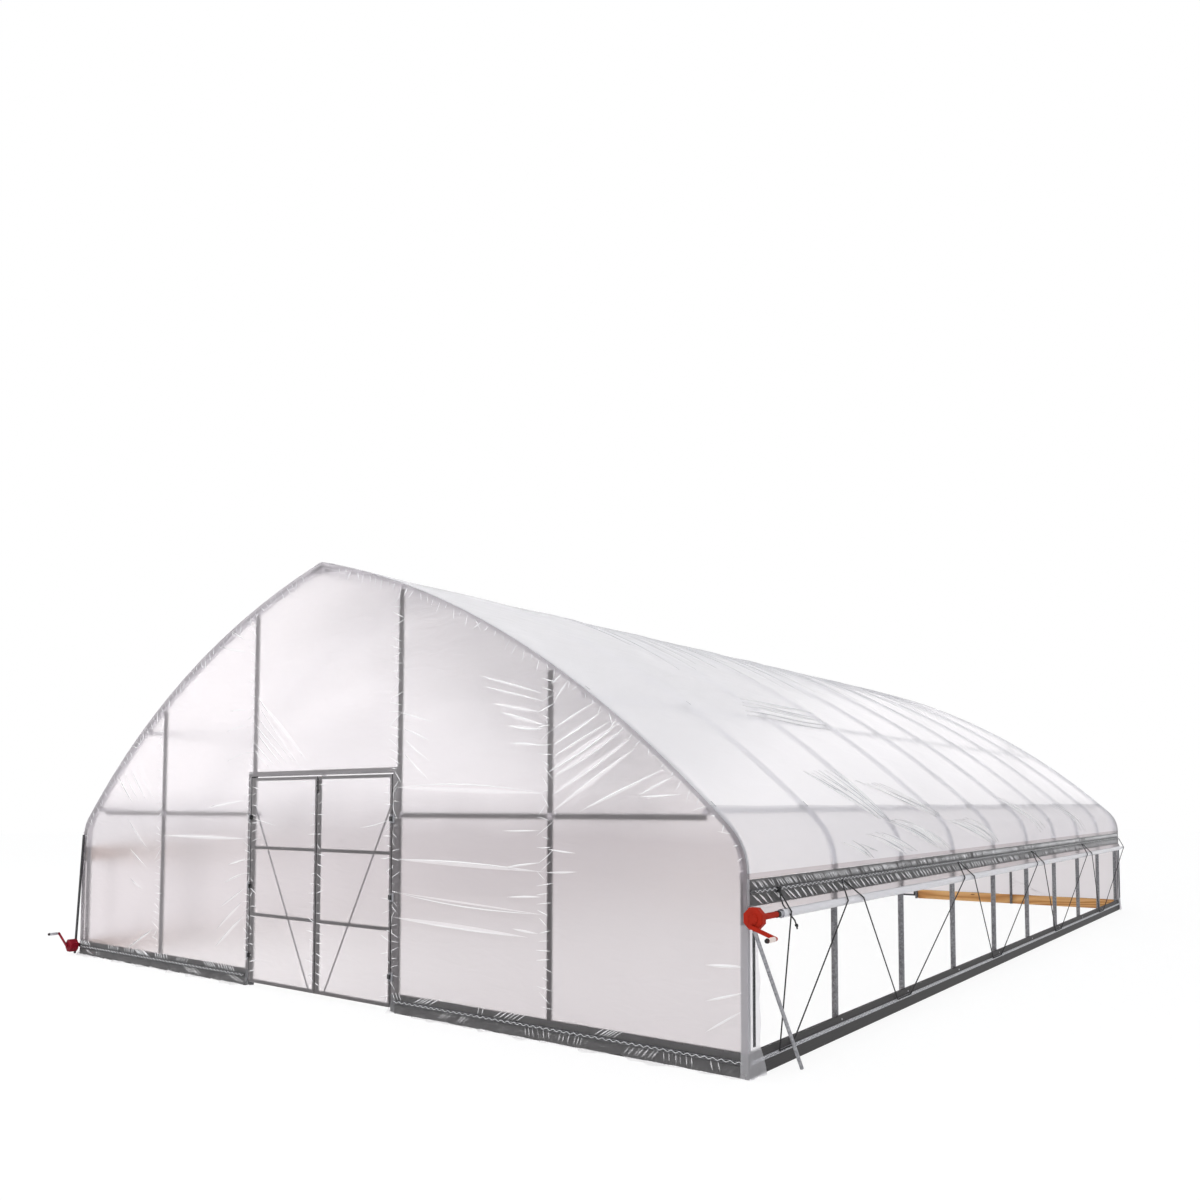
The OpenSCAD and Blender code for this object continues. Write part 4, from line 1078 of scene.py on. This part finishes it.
# Distances over which the relief fades, and the height from which it grows over the base board
ARCH_FADE = 0.12
EDGE_FADE = 0.08
BOARD_FADE_Z = 0.125
# The hem: how far under the channel it starts, the length over which it spreads, and its least height
HEM_DROP = 0.02
HEM_FADE = 0.07
HEM_LOW = 0.004
GABLE_FOLD_R = 0.0065
TICK_R = 0.0045
GABLE_PLEAT_HALF = 0.017


def gable_lift(u, v, creases):
    """Relief of a gable film, which fades to nothing at the arch, the base board and the door frame."""
    edge = np.clip((arch_top(u) - v) / ARCH_FADE, 0, 1) * np.clip((v - BOARD_FADE_Z) / EDGE_FADE, 0, 1)
    edge *= np.clip(np.abs(np.abs(u) - JAMB_X) / EDGE_FADE, 0, 1)
    return crease_height(u, v, creases) * edge


def gable_patch(x_from, x_to, low_z, columns, rows, creases, face_y, outward):
    """One patch of a gable film between two places across, from a height up to the arch."""
    u, share = flat_grid(x_from, x_to, columns, 0, 1, rows)
    v = low_z + share * (arch_top(u) - PATCH_EDGE - low_z)
    hem = np.clip((BASE_CHANNEL_Z - HEM_DROP - v) / HEM_FADE, 0, 1)
    ruffle = 0.5 + 0.3 * np.sin(13 * u + 3 * np.sin(2.3 * u)) + 0.2 * np.sin(31 * u + 1.3)
    lift = gable_lift(u, v, creases) + hem ** 1.5 * (0.015 + 0.08 * ruffle)
    drop = hem * (0.012 * np.sin(11 * u + 0.7) - 0.004)
    return np.stack([u, face_y + outward * lift, np.maximum(v + drop, HEM_LOW)], axis=1)


def gable_film(prefix, face_y, outward, mirror, seed):
    """The whole film of a gable: left of the door, over it and right of it."""
    rng = np.random.default_rng(seed)
    creases = gable_creases(rng, mirror)
    ticks = gable_ticks(rng)
    points, quads = [], []
    start = 0
    edge_x = side_x - PATCH_EDGE
    for x_from, x_to, low_z, (columns, rows) in ((-edge_x, -JAMB_X, HEM_Z, SIDE_PATCH),
                                                 (-JAMB_X, JAMB_X, DOOR_HEAD_Z, DOOR_PATCH),
                                                 (JAMB_X, edge_x, HEM_Z, SIDE_PATCH)):
        patch = gable_patch(x_from, x_to, low_z, columns, rows, creases, face_y, outward)
        points.append(patch)
        quads.append(grid_faces(columns, rows, outward > 0, start))
        start += len(patch)
    made = sheet_object(prefix + "_gable_film", np.concatenate(points), np.concatenate(quads), film_look)
    second_look(made, tight_look, lambda middles: middles[:, 2] < BOARD_TOP_Z)
    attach(made, "root")
    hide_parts(prefix + "_film_left", prefix + "_film_right", prefix + "_film_over_door")

    def on_gable(u, v, rise):
        inner = np.where(v < DOOR_HEAD_Z + EDGE_INSET, JAMB_X + EDGE_INSET, 0.0)
        u = np.copysign(np.clip(np.abs(u), inner, side_x - EDGE_INSET), u)
        return np.stack([u, face_y + outward * (gable_lift(u, v, creases) + rise), v], axis=1)

    lines = fold_lines(rng, creases, on_gable, GABLE_FOLD_R) + fold_lines(rng, ticks, on_gable, TICK_R)
    strands(prefix + "_gable_folds", lines, 4, fold_look, "root")
    pleats(prefix + "_gable_pleats", rng, creases, on_gable, GABLE_PLEAT_HALF, "root")
    return made


front_film = gable_film("front", FRONT_FILM_Y, -1, 1, 14)
back_film = gable_film("back", BACK_FILM_Y, 1, -1, 15)
print("gable films:", len(front_film.data.polygons), len(back_film.data.polygons), "quads")

# %% [markdown]
# Each door leaf has its own sheet, pinched along its stiles.

# %% Door films
LEAF_GRID = (54, 100)
LEAF_TICK_GAP = 0.09
LEAF_FADE = 0.05
LEAF_FOLD_R = 0.005
LEAF_INSET = 0.004
LEAF_CREASE_WIDTH = 0.015
LEAF_CREASE_HEIGHT = 0.0025
# The one long crease: distance from the hinge edge and height of both ends, half width and height
LONG_CREASE = ((0.03, 1.63), (0.42, 1.56), 0.025, 0.005)


def leaf_sheet(leaf, outward, rng):
    """The film over a door leaf."""
    low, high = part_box(leaf + "_leaf_film")
    columns, rows = LEAF_GRID
    u, v = flat_grid(low.x, high.x, columns, low.z, high.z, rows)
    face_y = (low.y + high.y) / 2
    creases = []
    for height in np.arange(low.z + 0.1, high.z - 0.05, LEAF_TICK_GAP):
        for edge, way in ((low.x, 1), (high.x, -1)):
            start = edge + way * LEAF_INSET
            end = (start + way * rng.uniform(0.03, 0.14), height + rng.normal(0, 0.03))
            creases.append(((start, height), end, LEAF_CREASE_WIDTH,
                            LEAF_CREASE_HEIGHT * rng.uniform(0.3, 1)))
    hinge_edge, way = (low.x, 1) if abs(low.x) > abs(high.x) else (high.x, -1)
    ends = [(hinge_edge + way * along, height) for along, height in LONG_CREASE[:2]]
    creases.append((ends[0], ends[1], *LONG_CREASE[2:]))

    def on_leaf(u, v, rise):
        edge = np.clip(np.minimum.reduce([u - low.x, high.x - u, v - low.z, high.z - v]) / LEAF_FADE, 0, 1)
        return np.stack([u, face_y + outward * (crease_height(u, v, creases) * edge + rise), v], axis=1)

    made = sheet_object(leaf + "_door_film", on_leaf(u, v, 0.0), grid_faces(columns, rows, outward > 0),
                        film_look)
    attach(made, leaf + "_door")
    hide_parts(leaf + "_leaf_film")
    lines = fold_lines(rng, creases, on_leaf, LEAF_FOLD_R)
    strands(leaf + "_door_folds", lines, 4, fold_look, leaf + "_door")
    return made


door_rng = np.random.default_rng(16)
door_films = [leaf_sheet(leaf, -1 if leaf.startswith("front") else 1, door_rng) for leaf in LEAVES]
print("door films:", [len(made.data.polygons) for made in door_films], "quads")

# %% [markdown]
# At the corners of the open side the gable film is wrapped round the leg and left hanging as a loose flap,
# which spreads over the corner of the base boards. A lipped channel locks each flap against its leg.

# %% Corner flaps
FLAP_GRID = (24, 60)
FLAP_FOOT_Z = 0.005
FLAP_TOP_Z = 0.98
FLAP_FRONT = 0.06
FLAP_SIDE = 0.17
FLAP_OUT = 0.009


def corner_flap(prefix, face_y, outward):
    """The loose end of a gable film, wrapped round the right corner."""
    columns, rows = FLAP_GRID
    s, v = flat_grid(-FLAP_FRONT, FLAP_SIDE, columns, FLAP_FOOT_Z, FLAP_TOP_Z, rows)
    base = np.clip(1 - v / 0.19, 0, 1)
    s = s * np.where(s > 0, 0.86 + 0.1 * np.sin(5 * v + 0.6) + 0.05 * np.sin(23 * v) + 0.1 * base, 1)
    wave = 0.006 * np.sin(9 * v + 14 * s) * np.clip(s / FLAP_SIDE, 0, 1)
    spread = 0.02 * base * (1 + 0.5 * np.sin(40 * s + 1.0))
    corner_x = side_x + FLAP_OUT
    x = corner_x + np.where(s < 0, s, 0) + np.where(s > 0, wave, 0) + spread * np.clip(0.5 + 8 * s, 0, 1)
    front = face_y + outward * (FLAP_OUT + spread * np.clip(0.5 - 8 * s, 0, 1))
    y = np.where(s < 0, front, front - outward * s)
    made = sheet_object(prefix + "_corner_flap", np.stack([x, y, v], axis=1),
                        grid_faces(columns, rows, outward > 0), shoulder_look)
    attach(made, "root")
    return made


flaps = [corner_flap("front", FRONT_FILM_Y, -1), corner_flap("back", BACK_FILM_Y, 1)]

CORNER_CHANNEL_BACK = 0.055
CORNER_CHANNEL_Z = (0.2, 1.08)
# Half of the channel's outline: distance from its middle, and height over the film
CHANNEL_OUTLINE = ((0.0, 0.0005), (0.012, 0.0005), (0.012, 0.008), (0.006, 0.008), (0.006, 0.0065),
                   (0.0105, 0.0065), (0.0105, 0.002), (0.0, 0.002))


def prism_faces(start, count):
    """Faces of a prism whose two ends are rings of points, one stored after the other."""
    sides = [(start + i, start + (i + 1) % count, start + count + (i + 1) % count, start + count + i)
             for i in range(count)]
    ends = [tuple(range(start + count - 1, start - 1, -1)), tuple(range(start + count, start + 2 * count))]
    return sides + ends


def flat_piece(name, points, faces, look):
    """A piece of flat faces that stays with the frame."""
    mesh = bpy.data.meshes.new(name)
    mesh.from_pydata(points, [], faces)
    mesh.materials.append(look)
    made = link_new(mesh, name)
    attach(made, "root")
    return made


def corner_channels():
    """Two upright channels at the corners of the open side, as one mesh."""
    outline = list(CHANNEL_OUTLINE) + [(-s, h) for s, h in CHANNEL_OUTLINE[-2:0:-1]]
    points, faces = [], []
    for face_y, inward in ((FRONT_FILM_Y, 1), (BACK_FILM_Y, -1)):
        faces += [face[::-1] for face in prism_faces(len(points), len(outline))]
        middle = face_y + inward * CORNER_CHANNEL_BACK
        for z in CORNER_CHANNEL_Z:
            points += [(side_x + FLAP_OUT + h, middle + s, z) for s, h in outline]
    return flat_piece("corner_channels", points, faces, strip_zinc)


corners = corner_channels()
print("corner flaps:", [len(made.data.polygons) for made in flaps], "quads;",
      "channels:", len(corners.data.polygons), "faces")

# %% [markdown]
# The film is locked by a springy wire that zigzags in each channel, its white coat showing between the
# lips. The wire is one strand per channel, bent to and fro every few centimetres.

# %% Lock wires
WIRE_R = 0.0022
WIRE_HALF = 0.0075
WIRE_STEP = 0.033
WIRE_INSET = 0.02
WIRE_DOOR_GAP = 0.06
WIRE_CORNER_GAP = 0.03
SIDE_CHANNEL_T = 0.0083
UP = (0, 0, 1)


def zigzag(start, end):
    """A line from a start to an end that zigzags up and down."""
    start = np.array(start)
    end = np.array(end)
    count = int(np.linalg.norm(end - start) / WIRE_STEP)
    share = np.linspace(0, 1, count + 1)[:, None]
    swing = np.where(np.arange(count + 1) % 2 == 0, 1.0, -1.0)[:, None] * WIRE_HALF
    return start + (end - start) * share + swing * np.array(UP), np.full(count + 1, WIRE_R)


channel_low, channel_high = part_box("lock_channels")
channel_face_x = channel_high.x + WIRE_R / 2
base_face_x = base_high.x + SIDE_CHANNEL_T + WIRE_R / 2
wires = [zigzag((x, FRONT_BOW_Y + WIRE_INSET, z), (x, BACK_BOW_Y - WIRE_INSET, z)) for x, z in
         ((channel_face_x, HIP_CHANNEL_Z), (-channel_face_x, HIP_CHANNEL_Z), (base_face_x, BASE_CHANNEL_Z))]
for face_y in (channel_low.y - WIRE_R / 2, channel_high.y + WIRE_R / 2):
    for side in (1, -1):
        wires.append(zigzag((side * (JAMB_X + WIRE_DOOR_GAP), face_y, BASE_CHANNEL_Z),
                            (side * (side_x - WIRE_CORNER_GAP), face_y, BASE_CHANNEL_Z)))
lock_wires = strands("lock_wires", wires, 5, wire_coat, "root")
print("lock wires:", len(wires), "strands,", len(lock_wires.data.polygons), "faces")

# %% [markdown]
# Where tubes cross they are held by clamps, a band round each tube. Each leg has a bolted collar where the
# bow slides into it, and bolts go through the base board of the open side.

# %% Clamps and bolts
PURLIN_R = 0.021
GABLE_R = 0.022
BASE_BOLT_Z = 0.135
COLLAR_DROP = 0.03
COLLAR_BOLT_R = 0.007
BASE_BOLT_R = 0.006
BAND = 0.0025
BAND_LENGTH = 0.055
GIRT_BAND_SHIFT = 0.001
# Shares of a bolt's radius
WASHER_R = 1.5
WASHER_T = 0.25
HEAD_T = 0.7
bow_ys = [FRONT_BOW_Y + i * BAY for i in range(BAYS + 1)]
bands = []
bolts = []


def add_band(place, way, radius):
    """Adds a clamp band that is centred on a place along a direction."""
    place = np.array(place)
    way = np.array(way) / np.linalg.norm(way)
    bands.append((place - way * BAND_LENGTH / 2, way, radius + BAND, BAND_LENGTH))


def add_bolt(place, way, radius):
    """Adds a washer and a hexagon head on it."""
    way = np.array(way) / np.linalg.norm(way)
    bolts.append((np.array(place), way, radius * WASHER_R, radius * WASHER_T))
    bolts.append((np.array(place) + way * radius * WASHER_T, way, radius, radius * HEAD_T))


purlin_arc = RAFTER_R - BOW_R - SEAT - PURLIN_R
ridge_z = float(rafter_cz + math.sqrt(purlin_arc ** 2 - rafter_cx ** 2))
for y in bow_ys:
    for side in (1, -1):
        middle = np.array([side * rafter_cx, y, rafter_cz])
        for pitch in PURLIN_PITCHES:
            out = np.array([side * math.sin(pitch), 0, math.cos(pitch)])
            add_band(middle + purlin_arc * out, (0, 1, 0), PURLIN_R)
            add_band(middle + RAFTER_R * out, (-side * out[2], 0, side * out[0]), BOW_R)
        add_band((side * LEG_X, y, shoulder_z - COLLAR_DROP), UP, BOW_R)
        add_bolt((side * (LEG_X - BOW_R - BAND), y, shoulder_z - COLLAR_DROP), (-side, 0, 0), COLLAR_BOLT_R)
    add_band((0, y, ridge_z), (0, 1, 0), PURLIN_R)
    add_bolt((base_high.x, y, BASE_BOLT_Z), (1, 0, 0), BASE_BOLT_R)
for y, inward in ((FRONT_BOW_Y, 1), (BACK_BOW_Y, -1)):
    for side in (1, -1):
        for post in (GABLE_POST_X, DOOR_POST_X):
            add_band((side * post, y, GIRT_Z), UP, GABLE_R)
            girt_x = side * (post + GIRT_BAND_SHIFT)
            add_band((girt_x, y + inward * (2 * GABLE_R + SEAT), GIRT_Z), (1, 0, 0), GABLE_R)
turned("clamp_bands", bands, 24, 1.0, fitting_zinc, "root")
turned("bolt_heads", bolts, 6, 0.85, fitting_zinc, "root")
print("clamps:", len(bands), "bands,", len(bolts) // 2, "bolts")

# %% [markdown]
# The two halves of each bow meet at the ridge between a pair of plates cut to the same angle as the roof.

# %% Ridge plates
PLATE_HALF = 0.16
PLATE_HIGH = 0.06
PLATE_T = 0.004


def ridge_plates():
    """Pairs of bent plates, one before and one behind each bow, as one mesh."""
    slope = math.tan(PEAK_PITCH)
    outline = [(-PLATE_HALF, -PLATE_HALF * slope), (0, 0), (PLATE_HALF, -PLATE_HALF * slope)]
    outline = [(x, PEAK_Z + z + PLATE_HIGH / 2) for x, z in outline]
    outline += [(x, z - PLATE_HIGH) for x, z in reversed(outline)]
    points, faces = [], []
    for y in bow_ys:
        for y_low in (y - BOW_R - PLATE_T, y + BOW_R):
            faces += prism_faces(len(points), len(outline))
            points += [(x, y_low, z) for x, z in outline] + [(x, y_low + PLATE_T, z) for x, z in outline]
    return flat_piece("ridge_plates", points, faces, fitting_zinc)


plates = ridge_plates()
print("ridge plates:", len(plates.data.polygons), "faces")

# %% [markdown]
# The right gearbox ends in a black collar on its socket, a ring of bolts holds the cover of each gearbox,
# and both cranks end in a loose grip with a black cap. The grips turn with their cranks.

# %% Gearbox and crank fittings
GRIP_L = 0.11
GRIP_R = 0.014
# Distance along the sleeve from its inner end, and radius
SLEEVE = ((0.0, 0.0005), (0.0005, 0.0145), (0.006, 0.0165), (0.05, 0.0158), (0.085, 0.0165),
          (0.09, 0.0145))
SLEEVE_INSET = 0.008
COVER_BOLTS = 6
COVER_BOLT_RING = 0.03
COVER_BOLT_R = 0.0045
COVER_BOLT_L = 0.004
CAP_BACK = 0.012
CAP_R = 0.0168
CAP_L = 0.0135
COLLAR_BACK = 0.022
COLLAR_R = 0.0235
COLLAR_L = 0.034


def crank_fittings(side_name, body, sleeve_look):
    """The sleeve and cap of a crank's grip."""
    low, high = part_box(body)
    end_y = low.y
    grip_x = high.x - GRIP_R if side_name == "right" else low.x + GRIP_R
    grip_z = low.z + GRIP_R if side_name == "right" else high.z - GRIP_R
    line = [(grip_x, end_y + GRIP_L - SLEEVE_INSET - along, grip_z) for along, _ in SLEEVE]
    strands(side_name + "_grip_sleeve", [(line, [r for _, r in SLEEVE])], 16, sleeve_look, body)
    cap = ((grip_x, end_y + CAP_BACK, grip_z), (0, -1, 0), CAP_R, CAP_L)
    turned(side_name + "_grip_cap", [cap], 20, 0.8, black_plastic, body)
    return grip_x, grip_z


right_grip = crank_fittings("right", "right_crank", pale_plastic)
left_grip = crank_fittings("left", "left_crank", fitting_zinc)

for name, look, slot in (("right_gearbox", orange_enamel, "gearbox_orange"),
                         ("left_gearbox", crimson_enamel, "gearbox_crimson")):
    low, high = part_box(name)
    cx, cz = (low.x + high.x) / 2, (low.z + high.z) / 2
    gear_bolts = []
    for k in range(COVER_BOLTS):
        turn = 2 * math.pi * (k + 0.5) / COVER_BOLTS
        place = (cx + COVER_BOLT_RING * math.cos(turn), low.y, cz + COVER_BOLT_RING * math.sin(turn))
        gear_bolts.append((place, (0, -1, 0), COVER_BOLT_R, COVER_BOLT_L))
    turned(name + "_bolts", gear_bolts, 6, 0.85, look, "root")
socket_low, socket_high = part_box("right_gearbox")
bar_x = (socket_low.x + socket_high.x) / 2
bar_z = (socket_low.z + socket_high.z) / 2
collar = ((bar_x, socket_high.y - COLLAR_BACK, bar_z), (0, 1, 0), COLLAR_R, COLLAR_L)
turned("socket_collar", [collar], 28, 0.94, black_plastic, "root")
print("grips at", [round(c, 3) for c in right_grip], [round(c, 3) for c in left_grip])

# %% [markdown]
# The rope is made fast at its front end with a hitch over the hip channel, and its tail hangs loose with a
# knot in it. Where the rope turns at the hip channel, it runs through a bent wire eye.

# %% Rope ends and eyes
ROPE_R = 0.0055
ROPE_START = 0.25
TOP_OUT = 0.0727
TOP_Z = 1.1815
HITCH_R = 0.013
HITCH_HEIGHT = 0.036
KNOT_R = 0.007
KNOT_HEIGHT = 0.014
# The hanging tail: steps out from the hitch, and distances along the tunnel and down
TAIL_STEP = 0.012
TAIL = ((1, -0.012, 0.01), (2.5, -0.03, 0.05), (4, -0.028, 0.1), (6.5, -0.005, 0.15), (9, 0.02, 0.2),
        (9.2, 0.04, 0.235), (9.2, 0.05, 0.26))
EYE_R = 0.011
EYE_WIRE = 0.002
EYE_POINTS = 15


def helix(middle, radius, height, turns, count):
    """Points of a short upright coil."""
    share = np.linspace(0, 1, count)
    turn = 2 * math.pi * turns * share
    return np.stack([middle[0] + radius * np.cos(turn), middle[1] + radius * np.sin(turn),
                     middle[2] + height * (share - 0.5)], axis=1)


def rope_hitch(side):
    """The hitch at a rope's front end and its hanging tail."""
    x = side * (LEG_X + TOP_OUT)
    y = FRONT_BOW_Y + ROPE_START * BAY
    coil = helix((x, y, TOP_Z), HITCH_R, HITCH_HEIGHT, 3, 40)
    tail = [(x + steps * side * TAIL_STEP, y + along, TOP_Z - down) for steps, along, down in TAIL]
    knot = helix(tail[-2], KNOT_R, KNOT_HEIGHT, 2, 24)
    return [(line, [ROPE_R] * len(line)) for line in (coil, tail, knot)]


rope_ends = strands("rope_ends", rope_hitch(1) + rope_hitch(-1), 8, rope_look, "root")


def wire_eye(place):
    """A ring of wire round a rope that runs along the tunnel."""
    turn = np.linspace(0, 2 * math.pi, EYE_POINTS)
    ring = np.stack([place[0] + EYE_R * np.cos(turn), np.full(EYE_POINTS, place[1]),
                     place[2] + EYE_R * np.sin(turn)], axis=1)
    return ring, np.full(EYE_POINTS, EYE_WIRE)


eyes = []
for bow in range(1, BAYS - 1, 2):
    y = FRONT_BOW_Y + bow * BAY
    for side in (1, -1):
        eyes.append(wire_eye((side * (LEG_X + TOP_OUT), y, TOP_Z)))
strands("rope_eyes", eyes, 6, fitting_zinc, "root")
print("rope ends:", len(rope_ends.data.polygons), "faces; eyes:", len(eyes))

# %% [markdown]
# A barrel bolt holds the doors shut at the head of the meeting stiles.

# %% Door bolts
KNOB_DROP = 0.07
KNOB_ENDS = (0.01, 0.022)
KNOB_RADII = (0.004, 0.006)
BARREL_GAP = 0.0045
BARREL_R = 0.006
BARREL_FROM_EDGE = 0.022
BARREL_FROM_TOP = 0.02
# Distance down the bolt, and radius, with two straps round it
BARREL = ((0.0, 0.006), (0.02, 0.006), (0.021, 0.009), (0.035, 0.009), (0.036, 0.006), (0.1, 0.006),
          (0.101, 0.009), (0.115, 0.009), (0.116, 0.006), (0.14, 0.006))


def door_bolt(prefix, outward):
    """A barrel bolt on the right leaf of a gable: the bolt with its straps, and its knob."""
    low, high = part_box(prefix + "_right_leaf_film")
    face_y = (low.y if outward < 0 else high.y) + outward * BARREL_GAP
    x = low.x + BARREL_FROM_EDGE
    top = high.z - BARREL_FROM_TOP
    bolt = ([(x, face_y + outward * BARREL_R, top - along) for along, _ in BARREL], [r for _, r in BARREL])
    knob = ([(x, face_y + outward * out, top - KNOB_DROP) for out in KNOB_ENDS], KNOB_RADII)
    strands(prefix + "_door_bolt", [bolt, knob], 12, shaded_gable_zinc, prefix + "_right_door")


door_bolt("front", -1)
door_bolt("back", 1)
print("door bolts on both gables")
